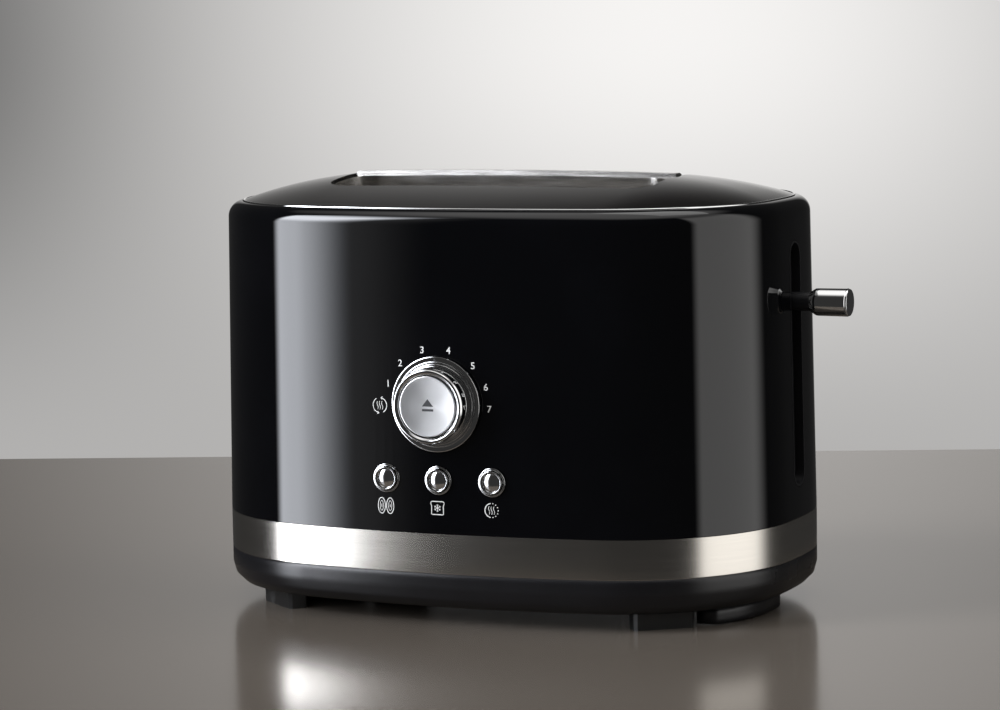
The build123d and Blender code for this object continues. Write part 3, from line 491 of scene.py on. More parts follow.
def outline(half_length, half_depth, long_radius, short_radius, corner):
    """Points round four shallow bows and the corner arcs tangent to them."""
    long_centre = Vector((0, long_radius - half_depth))
    short_centre = Vector((half_length - short_radius, 0))
    to_long, to_short = long_radius - corner, short_radius - corner
    between = short_centre - long_centre
    along = (to_long**2 - to_short**2 + between.length_squared) / (2 * between.length)
    across = math.sqrt(to_long**2 - along**2)
    direction = between.normalized()
    middle = long_centre + direction * along + Vector((-direction.y, direction.x)) * across
    first = math.atan2(middle.x, long_centre.y - middle.y)
    second = math.atan2(middle.x - short_centre.x, -middle.y)
    quarter = swept(long_centre, long_radius, 0, first, FRONT_STEPS)
    quarter += swept(middle, corner, first, second, CORNER_STEPS)
    quarter += swept(short_centre, short_radius, second, math.pi / 2, END_STEPS)
    right = quarter + [(half_length, 0)] + [(x, -y) for x, y in reversed(quarter)]
    return right + [(-x, y) for x, y in reversed(right[1:-1])]


def body_outline(inset):
    """The body's plan, moved in all round."""
    sizes = (HALF_LENGTH, HALF_DEPTH, FRONT_RADIUS, END_RADIUS, CORNER)
    return outline(*[size - inset for size in sizes])


def grown_ring(bm, verts, points):
    """Extrudes a ring of vertices onto new points, one for one."""
    edges = {edge for vert in verts for edge in vert.link_edges if edge.other_vert(vert) in verts}
    made = bmesh.ops.extrude_edge_only(bm, edges=list(edges))["geom"]
    fresh = {part for part in made if isinstance(part, bmesh.types.BMVert)}
    twins = []
    for vert, point in zip(verts, points):
        twin = next(edge.other_vert(vert) for edge in vert.link_edges if edge.other_vert(vert) in fresh)
        twin.co = point
        twins.append(twin)
    return twins


def skinned(rings, closed=True):
    """A skin grown from ring to ring; it closes on its first ring, or with a flat cap at each end."""
    bm = bmesh.new()
    first = [bm.verts.new(point) for point in rings[0]]
    for pair in zip(first, first[1:] + first[:1]):
        bm.edges.new(pair)
    if not closed:
        bm.faces.new(first)
    last = first
    for points in rings[1:] + (rings[:1] if closed else []):
        last = grown_ring(bm, last, points)
    if closed:
        bmesh.ops.remove_doubles(bm, verts=first + last, dist=MERGE_DISTANCE)
    else:
        bm.faces.new(last)
    bmesh.ops.recalc_face_normals(bm, faces=bm.faces)
    return bm


def at_height(points, z):
    """A plan laid at a height."""
    return [(x, y, z) for x, y in points]


def wrapped(levels):
    """A closed wall round the body through levels of (inset, height)."""
    return skinned([at_height(body_outline(inset), z) for inset, z in levels])


def bar(points, reach):
    """A flat closed outline run along a vector, as a solid."""
    bm = skinned([points, [Vector(point) + reach for point in points]], closed=False)
    return finished("bar", bm)


def round_hole(x, z, radius, steps=48):
    """A bar from inside the body out through the front wall."""
    start, reach = -0.05, 0.06
    turns = [2 * math.pi * i / steps for i in range(steps)]
    points = [(x + radius * math.cos(t), start, z + radius * math.sin(t)) for t in turns]
    return bar(points, Vector((0, -reach, 0)))


def upright_hole(width, low, high, steps=24):
    """A round ended bar from inside the body out through the end wall."""
    start, reach = 0.1, 0.05
    radius = width / 2
    points = []
    for i in range(2 * steps):
        turn = math.pi * (i + 0.5) / steps
        middle = high - radius if i < steps else low + radius
        points.append((start, radius * math.cos(turn), middle + radius * math.sin(turn)))
    return bar(points, Vector((reach, 0, 0)))


def bored(mesh, cutters):
    """Cuts closed bars out of a closed mesh."""
    piece = bpy.data.objects.new("bored", mesh)
    bpy.context.scene.collection.objects.link(piece)
    tools = []
    for cutter in cutters:
        tool = bpy.data.objects.new("cutter", cutter)
        bpy.context.scene.collection.objects.link(tool)
        cut = piece.modifiers.new("bore", "BOOLEAN")
        cut.operation = "DIFFERENCE"
        cut.solver = "EXACT"
        cut.object = tool
        tools.append(tool)
    bpy.context.view_layer.update()
    bored_piece = piece.evaluated_get(bpy.context.evaluated_depsgraph_get())
    result = bpy.data.meshes.new_from_object(bored_piece)
    for spent in [piece, *tools]:
        bpy.data.objects.remove(spent)
    result.shade_smooth()
    result.set_sharp_from_angle(angle=math.radians(SHARP_ANGLE))
    return result


# Casing


def lower_edge(z):
    """Levels of a small rounding at the foot of a wall."""
    return [(EDGE, z), (EDGE / 4, z + EDGE / 4), (0.0, z + EDGE)]


def shoulder_levels(steps=12):
    """Levels up the leaning wall and round the shoulder, to the lip beside the seam."""
    levels = lower_edge(BAND_TOP)
    last_turn = math.acos((SHOULDER + SHELL_LEAN - SEAM_INSET) / SHOULDER)
    for step in range(steps + 1):
        turn = last_turn * step / steps
        z = SEAM - SHOULDER * (1 - math.sin(turn))
        levels.append((leaning(z) + SHOULDER * (1 - math.cos(turn)), z))
    return levels


def make_shell(material):
    """Glossy wrap in one smooth sweep, with its holes for the lever, the dial and the buttons."""
    roof = LEDGE - SHELL_WALL
    levels = shoulder_levels()
    levels += [(SEAM_INSET, LEDGE), (SEAM_INSET + LEDGE_WIDTH, LEDGE), (SEAM_INSET + LEDGE_WIDTH, roof)]
    levels += [(SHELL_WALL + leaning(roof), roof), (SHELL_WALL, BAND_TOP)]
    holes = [round_hole(0.0, DIAL_HEIGHT, DIAL_HOLE)]
    holes += [round_hole(side * BUTTON_PITCH, BUTTON_HEIGHT, BUTTON_HOLE) for side in (-1, 0, 1)]
    holes.append(upright_hole(CHANNEL_HOLE_WIDTH, CHANNEL_HOLE_LOW, CHANNEL_HOLE_HIGH))
    mesh = bored(finished("shell_wrap", wrapped(levels)), holes)
    add_piece("shell_wrap", mesh, material, "casing", "outer_shell", flats=True)


def dome_outline(share):
    """The cover's plan at a share of its rise: it shrinks faster across than along."""
    half_length = HALF_LENGTH - SEAM_INSET - FIT_GAP
    half_depth = HALF_DEPTH - SEAM_INSET - FIT_GAP
    along = (1 - share) ** (1 / DOME_FALL_ALONG)
    across = (1 - share) ** (1 / DOME_FALL_ACROSS)
    long_rise = bow_rise(half_length, FRONT_RADIUS - SEAM_INSET) * across
    short_rise = bow_rise(half_depth, END_RADIUS - SEAM_INSET) * along
    return outline(
        half_length * along,
        half_depth * across,
        bow_radius(half_length * along, long_rise),
        bow_radius(half_depth * across, short_rise),
        (CORNER - SEAM_INSET) * across,
    )


def opening_outline(steps=16):
    """The rounded opening over both slots."""
    points = []
    for index, (side_x, side_y) in enumerate(((1, 1), (-1, 1), (-1, -1), (1, -1))):
        x = side_x * (OPENING_HALF_LENGTH - OPENING_CORNER)
        y = side_y * (OPENING_HALF_DEPTH - OPENING_CORNER)
        for step in range(steps + 1):
            turn = math.pi / 2 * (index + step / steps)
            points.append((x + OPENING_CORNER * math.cos(turn), y + OPENING_CORNER * math.sin(turn)))
    return points


def make_cover(material):
    """Domed cover with its opening over both slots."""
    rings = [at_height(dome_outline(0.0), LEDGE)]
    rings += [at_height(dome_outline(share), SEAM + DOME_RISE * share) for share in DOME_SHARES]
    margin = 0.01
    opening = bar(at_height(opening_outline(), LEDGE - margin), Vector((0, 0, 4 * margin)))
    mesh = bored(finished("cover_dome", skinned(rings, closed=False)), [opening])
    add_piece("cover_dome", mesh, material, "casing", "top_cover")


def make_seam_bead(material, radius=0.00055, steps=10):
    """Thin polished bead that closes the seam between the shell and the cover."""
    middle = SEAM_INSET + FIT_GAP / 2
    turns = [2 * math.pi * step / steps for step in range(steps)]
    levels = [(middle - radius * math.cos(turn), SEAM + radius * math.sin(turn)) for turn in turns]
    mesh = finished("seam_bead", wrapped(levels), sharp=60)
    add_piece("seam_bead", mesh, material, "casing")


def make_band(material):
    """Brushed band with softened edges."""
    levels = lower_edge(BASE_TOP)
    levels += [(0.0, BAND_TOP - EDGE), (EDGE / 4, BAND_TOP - EDGE / 4), (EDGE, BAND_TOP)]
    levels += [(BAND_WALL, BAND_TOP), (BAND_WALL, BASE_TOP)]
    mesh = finished("band_wrap", wrapped(levels), sharp=50)
    add_piece("band_wrap", mesh, material, "casing", "steel_band", flats=True)


# Turned pieces


def softened(corners, steps=4):
    """A profile whose corners of (radius, reach, rounding) are rounded off."""
    path = []
    count = len(corners)
    for i, (radius, reach, rounding) in enumerate(corners):
        corner = Vector((radius, reach))
        if rounding == 0:
            path.append(corner)
            continue
        before = (Vector(corners[i - 1][:2]) - corner).normalized()
        after = (Vector(corners[(i + 1) % count][:2]) - corner).normalized()
        for step in range(steps + 1):
            share = step / steps
            start, end = corner + before * rounding, corner + after * rounding
            path.append(start * (1 - share) ** 2 + corner * 2 * share * (1 - share) + end * share**2)
    return path


def turned(corners, steps=96, hollow=False):
    """Spins a profile about the Y axis; a hollow one closes on its own start."""
    bm = bmesh.new()
    verts = [bm.verts.new((point.x, point.y, 0.0)) for point in softened(corners)]
    edges = [bm.edges.new(pair) for pair in zip(verts, verts[1:])]
    if hollow:
        edges.append(bm.edges.new((verts[-1], verts[0])))
    bmesh.ops.spin(
        bm,
        geom=verts + edges,
        cent=(0, 0, 0),
        axis=(0, 1, 0),
        angle=2 * math.pi,
        steps=steps,
        use_merge=True,
    )
    bmesh.ops.remove_doubles(bm, verts=bm.verts, dist=MERGE_DISTANCE)
    bmesh.ops.recalc_face_normals(bm, faces=bm.faces)
    return bm


def placed(bm, x, z):
    """A turned shape moved to its place on the front."""
    bmesh.ops.translate(bm, verts=bm.verts, vec=(x, 0, z))
    return bm


def dish(radius):
    """Depth of the disc's hollow at a radius."""
    return DISH_DEPTH * (1 - (radius / DISC_RADIUS) ** 2)


def make_dial(material):
    """Turned dial: thin skirt, tapered body, and a bevelled ring round its cup."""
    cup_floor = DIAL_FRONT + DIAL_CUP_DEPTH
    corners = [
        (DIAL_BORE, SKIRT_BACK, 0),
        (SKIRT_RADIUS, SKIRT_BACK, 0.0003),
        (SKIRT_RADIUS, SKIRT_FRONT, 0.0007),
        (0.0189, SKIRT_FRONT, 0.0002),
        (0.0186, SKIRT_FRONT + SKIRT_GROOVE, 0.0002),
        (0.0177, SKIRT_FRONT + SKIRT_GROOVE, 0.0003),
        (0.0166, DIAL_FRONT + 0.0012, 0.0003),
        (0.0160, DIAL_FRONT, 0.0005),
        (0.0150, DIAL_FRONT, 0.0003),
        (DIAL_CUP, DIAL_FRONT + 0.0008, 0.0002),
        (DIAL_CUP, cup_floor, 0.0003),
        (DIAL_BORE, cup_floor, 0),
    ]
    mesh = finished("dial_knob", placed(turned(corners, 128, hollow=True), 0, DIAL_HEIGHT))
    add_piece("dial_knob", mesh, material, "shade_dial", "shade_dial", flats=True)


def make_cancel_disc(material):
    """Satin disc with a shallow dish, on its stem."""
    back = DISC_FRONT + DISC_THICKNESS
    radii = [DISC_RADIUS * DISH_SHARE * i / 12 for i in range(13)]
    corners = [(radius, DISC_FRONT + dish(radius), 0) for radius in radii] + [
        (DISC_RADIUS, DISC_FRONT, 0.0004),
        (DISC_RADIUS, back, 0.0003),
        (STEM_RADIUS, back, 0),
        (STEM_RADIUS, STEM_END, 0),
        (0.0, STEM_END, 0),
    ]
    mesh = finished("cancel_disc", placed(turned(corners, 128), 0, DIAL_HEIGHT))
    add_piece("cancel_disc", mesh, material, "cancel_button", "cancel_button")


def button_surface(x):
    """Where the shell's face lies behind a button."""
    return -HALF_DEPTH + bow_rise(abs(x), FRONT_RADIUS) + leaning(BUTTON_HEIGHT)


def make_button(name, x, material):
    """Button with a raised rim round its polished dome, in a rounded collar."""
    surface = button_surface(x)
    rim = surface - BUTTON_REACH
    groove = rim + BUTTON_GROOVE
    ball = bow_radius(DOME_RADIUS, DOME_HEIGHT)
    radii = [DOME_RADIUS * i / 8 for i in range(9)]
    corners = [(radius, groove - DOME_HEIGHT + bow_rise(radius, ball), 0) for radius in radii] + [
        (0.00446, groove, 0),
        (0.0046, rim, 0.00015),
        (BUTTON_RADIUS, rim, 0.0003),
        (BUTTON_RADIUS, surface + BUTTON_BACK, 0),
        (STEM_RADIUS, surface + BUTTON_BACK, 0),
        (STEM_RADIUS, SWITCH_END, 0),
        (0.0, SWITCH_END, 0),
    ]
    mesh = finished(name + "_cap", placed(turned(corners, 64), x, BUTTON_HEIGHT))
    add_piece(name + "_cap", mesh, material, name + "_button", name + "_button")
    collar = [
        (COLLAR_INNER, surface + COLLAR_BACK, 0),
        (COLLAR_OUTER, surface + COLLAR_BACK, 0),
        (COLLAR_OUTER, surface - COLLAR_REACH, 0.0004),
        (COLLAR_INNER, surface - COLLAR_REACH, 0.0003),
    ]
    mesh = finished(name + "_collar", placed(turned(collar, 64, hollow=True), x, BUTTON_HEIGHT))
    add_piece(name + "_collar", mesh, material, "casing", name + "_bezel")


def make_knob(material, lever_height):
    """Chromed lever knob: flared neck, plain barrel, and an end face with a fine step."""
    start = LEVER_TIP - KNOB_LENGTH
    tip_radius = KNOB_RADIUS - 0.0002
    corners = [
        (0.0, start, 0),
        (KNOB_NECK, start, 0.0002),
        (0.0062, start + 0.0026, 0.0008),
        (KNOB_RADIUS, LEVER_TIP - 0.0011, 0),
        (tip_radius, LEVER_TIP - 0.0009, 0),
        (tip_radius, LEVER_TIP, 0.0007),
        (0.0, LEVER_TIP, 0),
    ]
    bm = turned(corners)
    bmesh.ops.rotate(bm, verts=bm.verts, cent=(0, 0, 0), matrix=Matrix.Rotation(-math.pi / 2, 3, "Z"))
    mesh = finished("lever_grip", placed(bm, 0, lever_height))
    add_piece("lever_grip", mesh, material, "carriage", "lever_knob", flats=True)


# Marks on the front

NUMBER_CENTRE = (-0.0006, 0.0988)
NUMBER_RADIUS = 0.0252
NUMBER_HEIGHT = 0.0030
NUMBER_TURNS = (-69.0, -43.6, -15.1, 14.1, 44.5, 69.7, 92.0)
LINE = 0.0003
FINE_LINE = 0.00024
INK_LIFT = 0.00004
KEEP_WARM_PLACE = (-0.0284, 0.0979)
BAGEL_PLACE = (-0.0261, 0.0533)
FROZEN_PLACE = (-0.0007, 0.0534)
REHEAT_PLACE = (0.0250, 0.0534)


def front_face(x, z):
    """Depth of the glossy front at a place, about the body's middle."""
    radius = FRONT_RADIUS - leaning(z)
    return FRONT_RADIUS - HALF_DEPTH - math.sqrt(radius**2 - x**2)


def ribbon_mesh(path, width, closed=False):
    """Flat strip of one width along a drawn line of (x, z)."""
    bm = bmesh.new()
    count = len(path)
    pairs = []
    for i, point in enumerate(path):
        before = path[(i - 1) % count] if closed or i > 0 else point
        after = path[(i + 1) % count] if closed or i < count - 1 else point
        along = (Vector(after) - Vector(before)).normalized()
        side = Vector((-along.y, along.x)) * width / 2
        pairs.append([bm.verts.new((p.x, 0, p.y)) for p in (Vector(point) + side, Vector(point) - side)])
    for i in range(count if closed else count - 1):
        a, b = pairs[i], pairs[(i + 1) % count]
        bm.faces.new((a[0], b[0], b[1], a[1]))
    return bm


def filled_mesh(path):
    """Flat face inside a drawn outline of (x, z)."""
    bm = bmesh.new()
    bm.faces.new([bm.verts.new((x, 0, z)) for x, z in path])
    return bm


def round_from(centre, radius, turn, narrow=1.0):
    """Place round a centre, in degrees clockwise from the top."""
    angle = math.radians(turn)
    return (centre[0] + radius * narrow * math.sin(angle), centre[1] + radius * math.cos(angle))


def arc(centre, radius, start, end, steps=24, narrow=1.0):
    """Places along an arc, from one turn to another."""
    turns = [start + (end - start) * i / steps for i in range(steps + 1)]
    return [round_from(centre, radius, turn, narrow) for turn in turns]


def loop_mesh(centre, radius, narrow, width):
    """Closed oval line."""
    return ribbon_mesh(arc(centre, radius, 0, 360, 36, narrow)[:-1], width, closed=True)


def heat_wave(centre, height, swing, steps=16):
    """Upright wavy line."""
    x, z = centre
    shares = [i / steps for i in range(steps + 1)]
    return [(x + swing * math.sin(2 * math.pi * share), z + height * (share - 0.5)) for share in shares]


def heat_waves(centre):
    """Three wavy lines side by side."""
    places = [(centre[0] + step * 0.00115, centre[1]) for step in (-1, 0, 1)]
    return [ribbon_mesh(heat_wave(place, 0.0036, 0.00028), FINE_LINE) for place in places]


def joined(bms):
    """One bmesh from several."""
    total = bmesh.new()
    for bm in bms:
        mesh = bpy.data.meshes.new("part")
        bm.to_mesh(mesh)
        bm.free()
        total.from_mesh(mesh)
        bpy.data.meshes.remove(mesh)
    return total


def turn_towards(bm, direction):
    """Makes every face look the way that it is seen from."""
    bm.normal_update()
    for face in bm.faces:
        if face.normal.dot(direction) < 0:
            face.normal_flip()


def printed(name, bms, material, body="casing", depth=front_face, lift=INK_LIFT):
    """Lays flat marks on a surface that faces the front."""
    bm = joined(bms)
    for vert in bm.verts:
        vert.co.y = depth(vert.co.x, vert.co.z) - lift
    turn_towards(bm, Vector((0, -1, 0)))
    add_piece(name, finished(name, bm), material, body)


def digit_mesh(text, centre, height):
    """A plain number standing at a place on the front."""
    curve = bpy.data.curves.new("digit", "FONT")
    curve.body = text
    curve.size = height * 1.42
    curve.resolution_u = 6
    curve.offset = 0.00003
    holder = bpy.data.objects.new("digit", curve)
    bpy.context.scene.collection.objects.link(holder)
    bpy.context.view_layer.update()
    mesh = bpy.data.meshes.new_from_object(holder)
    bpy.data.objects.remove(holder)
    bpy.data.curves.remove(curve)
    bm = bmesh.new()
    bm.from_mesh(mesh)
    bpy.data.meshes.remove(mesh)
    xs = [vert.co.x for vert in bm.verts]
    ys = [vert.co.y for vert in bm.verts]
    middle = ((min(xs) + max(xs)) / 2, (min(ys) + max(ys)) / 2)
    for vert in bm.verts:
        vert.co = Vector((centre[0] + vert.co.x - middle[0], 0, centre[1] + vert.co.y - middle[1]))
    return bm


def dial_numbers(material):
    """The browning numbers round the dial."""
    marks = []
    for index, turn in enumerate(NUMBER_TURNS):
        place = round_from(NUMBER_CENTRE, NUMBER_RADIUS, turn)
        marks.append(digit_mesh(str(index + 1), place, NUMBER_HEIGHT))
    printed("dial_numbers", marks, material)


def keep_warm_mark(material):
    """Three heat waves between two arcs with hooked ends, before the dial's first number."""
    marks = heat_waves(KEEP_WARM_PLACE)
    for half in (0, 180):
        marks.append(ribbon_mesh(arc(KEEP_WARM_PLACE, 0.0034, half + 8, half + 150), LINE * 1.2))
        tip = round_from(KEEP_WARM_PLACE, 0.0034, half + 8)
        for reach, turn in ((0.0010, half + 62), (0.0010, half + 128)):
            marks.append(ribbon_mesh([tip, round_from(tip, reach, turn)], LINE))
    printed("keep_warm_mark", marks, material)


def bagel_mark(material):
    """Two halves of a bagel, cut side to cut side."""
    marks = []
    for side in (-1, 1):
        x, z = BAGEL_PLACE[0] + side * 0.0021, BAGEL_PLACE[1]
        marks.append(loop_mesh((x, z), 0.0035, 0.51, LINE * 1.3))
        marks.append(loop_mesh((x, z), 0.0022, 0.36, FINE_LINE))
        marks.append(ribbon_mesh([(x, z - 0.0007), (x, z + 0.0007)], LINE))
    printed("bagel_mark", marks, material)


def frozen_mark(material):
    """An outline with soft shoulders round a snow crystal."""
    x0, z0 = FROZEN_PLACE
    half = [(0.0026, -0.0029), (0.0029, -0.0026), (0.0028, 0.0010)]
    half += [(0.0032, 0.0016), (0.0032, 0.0024), (0.0027, 0.0029)]
    path = half + [(-x, z) for x, z in reversed(half)]
    marks = [ribbon_mesh([(x0 + x, z0 + z) for x, z in path], LINE * 1.3, closed=True)]
    for turn in (0, 60, 120):
        ends = [round_from(FROZEN_PLACE, 0.0017, turn + half_turn) for half_turn in (0, 180)]
        marks.append(ribbon_mesh(ends, FINE_LINE))
        for way in (0, 180):
            stem = round_from(FROZEN_PLACE, 0.0010, turn + way)
            for branch in (-45, 45):
                tip = round_from(stem, 0.0006, turn + way + branch)
                marks.append(ribbon_mesh([stem, tip], FINE_LINE))
    printed("frozen_mark", marks, material)


def reheat_mark(material):
    """Half a solid ring, half a dotted one, round three heat waves."""
    marks = heat_waves(REHEAT_PLACE)
    marks.append(ribbon_mesh(arc(REHEAT_PLACE, 0.0031, 188, 352), LINE * 1.5))
    for index in range(7):
        spot = round_from(REHEAT_PLACE, 0.0031, 12 + index * 26)
        marks.append(filled_mesh(arc(spot, 0.00026, 0, 360, 10)[:-1]))
    printed("reheat_mark", marks, material)


def eject_mark(material):
    """Triangle over a bar on the cancel disc."""
    bar_points = [(-0.0027, -0.0020), (0.0027, -0.0020), (0.0027, -0.0010), (-0.0027, -0.0010)]
    triangle = [(-0.0027, 0.0001), (0.0027, 0.0001), (0.0, 0.0034)]
    marks = []
    for points in (bar_points, triangle):
        marks.append(filled_mesh([(x, z + DIAL_HEIGHT) for x, z in points]))

    def dished_face(x, z):
        return DISC_FRONT + dish(math.hypot(x, z - DIAL_HEIGHT))

    printed("eject_mark", marks, material, "cancel_button", dished_face, 0.00006)


def dial_pointer(material):
    """Fine line at the top of the dial's skirt."""
    line = ribbon_mesh([(0, DIAL_HEIGHT + 0.0193), (0, DIAL_HEIGHT + 0.0203)], 0.0007)

    def skirt_face(x, z):
        return SKIRT_FRONT

    printed("dial_pointer", [line], material, "shade_dial", skirt_face)


# Studio


FLOOR_FAR = 0.47
FLOOR_DEPTH = 0.74
FLOOR_WIDTH = 1.6
FLOOR_TURN = CAMERA_YAW - 0.057

# Soft edges of what the world shows: pairs of bearings, from -Y towards +X, or of heights, in degrees
BACK_BEARING = -156.3
BACK_SHIFT = 0.05
BACK_FALL = 29.9
BACK_EASE = 14.5
BACK_FOOT, BACK_TOP = (-10.0, 0.0), (8.0, 30.0)
BACK_LEVEL = 0.8
LEFT_START, LEFT_END = (-66.0, -59.0), (-46.0, -36.0)
LEFT_FOOT, LEFT_TOP = (-32.0, -14.0), (36.0, 56.0)
LEFT_LEVEL, LEFT_GAIN, LEFT_RISE = 9.0, 8.0, (8.0, 28.0)
HAZE_END, HAZE_LEVEL = (-40.0, -25.0), 0.45
RIGHT_START, RIGHT_END = (64.0, 71.0), (112.0, 128.0)
RIGHT_FOOT, RIGHT_TOP = (-30.0, -12.0), (40.0, 60.0)
RIGHT_LEVEL = 1.5
OVERHEAD_EDGE, OVERHEAD_LEVEL = (48.0, 68.0), 1.25
DARK_LEVEL = 0.035
SEEN_RISE, SEEN_LOW, SEEN_DARKEST, SEEN_GLOW = (-8.5, -1.0), 0.45, 0.2, 0.53
WARM_LIGHT, COOL_LIGHT = (1.0, 0.985, 0.97, 1), (0.94, 0.97, 1.04, 1)


def make_floor(material):
    """Floor whose far edge lies level across the picture."""
    bm = bmesh.new()
    bmesh.ops.create_grid(bm, x_segments=2, y_segments=2, size=0.5)
    bmesh.ops.scale(bm, verts=bm.verts, vec=(FLOOR_WIDTH, FLOOR_DEPTH, 1.0))
    bmesh.ops.translate(bm, verts=bm.verts, vec=(0, FLOOR_FAR - FLOOR_DEPTH / 2, 0))
    turn = Matrix.Rotation(FLOOR_TURN, 3, "Z")
    bmesh.ops.rotate(bm, verts=bm.verts, cent=(0, 0, 0), matrix=turn)
    mesh = bpy.data.meshes.new("floor")
    bm.to_mesh(mesh)
    bm.free()
    mesh.materials.append(material)
    floor = bpy.data.objects.new("floor", mesh)
    bpy.context.scene.collection.objects.link(floor)


def area_light(name, bearing, height, distance, size, power):
    """Soft box at a bearing from -Y towards +X, aimed at the middle of the body."""
    data = bpy.data.lights.new(name, "AREA")
    data.shape = "RECTANGLE"
    data.size, data.size_y = size
    data.energy = power
    lamp = bpy.data.objects.new(name, data)
    turn, rise = math.radians(bearing), math.radians(height)
    aim = Vector((0, 0, 0.1))
    away = Vector((math.sin(turn) * math.cos(rise), -math.cos(turn) * math.cos(rise), math.sin(rise)))
    lamp.location = aim + away * distance
    lamp.rotation_mode = "QUATERNION"
    lamp.rotation_quaternion = away.to_track_quat("Z", "Y")
    bpy.context.scene.collection.objects.link(lamp)
    return lamp


def soft_window(value, start, end):
    """1 between two soft edges, 0 outside them."""
    return value.above(*start) * (1.0 - value.above(*end))


def make_world():
    """Studio with a pale glow behind the object and a soft panel at each side of it."""
    world = bpy.data.worlds.new("studio")
    world.use_nodes = True
    bpy.context.scene.world = world
    graph = Graph(world.node_tree)
    place = graph.node("ShaderNodeTexCoord", [], output="Generated")
    ahead = graph.axis(place, 1) * -1.0
    bearing = graph.axis(place, 0).maths("ARCTAN2", ahead) * math.degrees(1)
    height = graph.axis(place, 2).maths("ARCSINE") * math.degrees(1)
    from_back = (bearing - BACK_BEARING) * math.radians(1)
    aside = from_back.maths("SINE") + BACK_SHIFT
    spread = aside * aside
    glow = 1.0 - (spread * BACK_FALL).maths("DIVIDE", spread * BACK_EASE + 1.0)
    back = glow.maths("MAXIMUM", 0.0) * from_back.maths("COSINE").above(0.0, 0.5)
    back = back * soft_window(height, BACK_FOOT, BACK_TOP) * BACK_LEVEL
    left = soft_window(bearing, LEFT_START, LEFT_END)
    left = left * (height.above(*LEFT_RISE) * LEFT_GAIN + LEFT_LEVEL)
    haze = soft_window(bearing, LEFT_END, HAZE_END) * HAZE_LEVEL
    left = (left + haze) * soft_window(height, LEFT_FOOT, LEFT_TOP)
    right = soft_window(bearing, RIGHT_START, RIGHT_END)
    right = right * soft_window(height, RIGHT_FOOT, RIGHT_TOP) * RIGHT_LEVEL
    overhead = height.above(*OVERHEAD_EDGE) * OVERHEAD_LEVEL
    studio = back + left + right + overhead + DARK_LEVEL
    backdrop = glow.maths("SMOOTH_MAX", SEEN_DARKEST, SEEN_DARKEST) - SEEN_GLOW
    backdrop = height.above(*SEEN_RISE) * backdrop + SEEN_LOW
    seen = graph.node("ShaderNodeLightPath", [], output="Is Camera Ray")
    strength = seen * backdrop + (1.0 - seen) * studio
    colour = graph.mixed(left.above(0.0, 1.0), WARM_LIGHT, COOL_LIGHT)
    background = world.node_tree.nodes["Background"]
    graph.tree.links.new(colour.socket, background.inputs["Color"])
    graph.tree.links.new(strength.socket, background.inputs["Strength"])


def make_lights():
    """A soft box behind and above, and a fill for the front that gives no highlight."""
    area_light("top_box", 150, 74, 1.5, (1.0, 0.6), 2.6)
    fill = area_light("front_fill", -5, 24, 1.7, (1.4, 0.9), 9)
    fill.visible_glossy = False


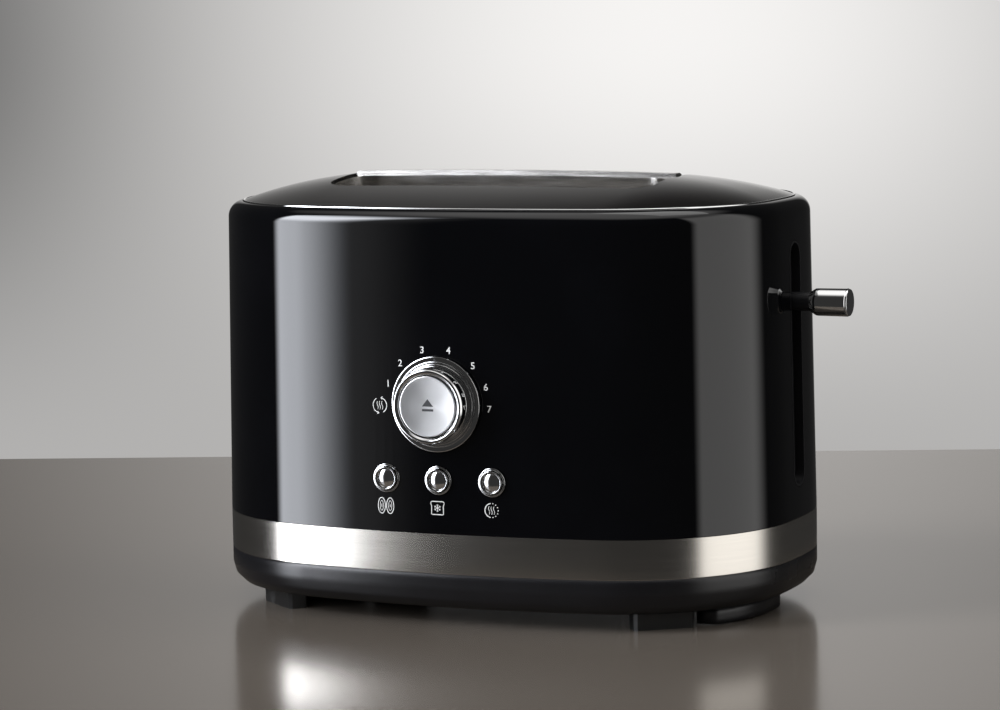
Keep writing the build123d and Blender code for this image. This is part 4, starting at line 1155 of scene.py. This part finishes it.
def dress_nodes():
    """Gives every solid its material by the record's slot."""
    dial_centre = MIDDLE + Vector((0, 0, DIAL_HEIGHT))
    band_lines, lining_lines = (0.004, 0.004, 1.0), (0.05, 1.0, 1.0)
    band_colour, lining_colour = (0.64, 0.61, 0.56, 1), (0.74, 0.72, 0.69, 1)
    paints = {
        "black_gloss": black_gloss(),
        "black_cover": black_cover(),
        "brushed_band": brushed("brushed_band", band_colour, 0.15, 0.21, 9000.0, band_lines, 0.000005),
        "polished_lining": brushed("polished_lining", lining_colour, 0.14, 0.26, 900.0, lining_lines),
        "base_plastic": plastic("base_plastic", (0.006, 0.006, 0.007, 1), 0.22, 0.30, rounding=0.004),
        "channel_plastic": plastic("channel_plastic", (0.008, 0.008, 0.009, 1), 0.3, 0.42),
        "foot_rubber": foot_rubber(),
        "galvanised": sheet_steel("galvanised", (0.62, 0.62, 0.63, 1)),
        "zinc_screw": sheet_steel("zinc_screw", (0.66, 0.65, 0.60, 1), 0.25, 0.4),
        "chrome": chrome("chrome"),
        "satin_chrome": spun_steel("satin_chrome", dial_centre, (0.90, 0.90, 0.90, 1), 0.26, 0.32),
        "dial_chrome": chrome("dial_chrome", 0.74, 0.05, 0.1),
        "mica": mica(),
        "ribbon_alloy": sheet_steel("ribbon_alloy", (0.34, 0.31, 0.29, 1), 0.4, 0.6),
        "cage_wire": sheet_steel("cage_wire", (0.60, 0.59, 0.57, 1), 0.2, 0.35),
        "spring_steel": sheet_steel("spring_steel", (0.56, 0.56, 0.57, 1), 0.18, 0.32),
        "copper_winding": copper_winding(),
        "iron": sheet_steel("iron", (0.28, 0.28, 0.29, 1), 0.35, 0.5),
        "switch_plastic": plastic("switch_plastic", (0.035, 0.035, 0.04, 1), 0.4, 0.5),
        "board_laminate": circuit_board(),
    }
    slots = {entry["node"]: entry["material_slot"] for entry in frame["record"]["subparts"]}
    for name, node in frame["nodes"].items():
        node.data.materials.clear()
        node.data.materials.append(paints[slots[name]])
    return paints


make_camera()
paints = dress_nodes()
lever_low, lever_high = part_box("lever_knob")
make_shell(paints["black_gloss"])
make_cover(paints["black_cover"])
make_seam_bead(paints["chrome"])
make_band(paints["brushed_band"])
make_dial(paints["dial_chrome"])
make_cancel_disc(paints["satin_chrome"])
for place, button in ((-BUTTON_PITCH, "bagel"), (0.0, "frozen"), (BUTTON_PITCH, "reheat")):
    make_button(button, place, paints["chrome"])
make_knob(paints["chrome"], (lever_low[2] + lever_high[2]) / 2)
white_ink = ink("white_ink", (0.78, 0.78, 0.76, 1))
grey_ink = ink("grey_ink", (0.045, 0.045, 0.048, 1))
dial_numbers(white_ink)
keep_warm_mark(white_ink)
bagel_mark(white_ink)
frozen_mark(white_ink)
reheat_mark(white_ink)
eject_mark(grey_ink)
dial_pointer(grey_ink)
make_floor(floor_paint())
make_world()
make_lights()
bpy.context.scene.view_settings.view_transform = "Standard"
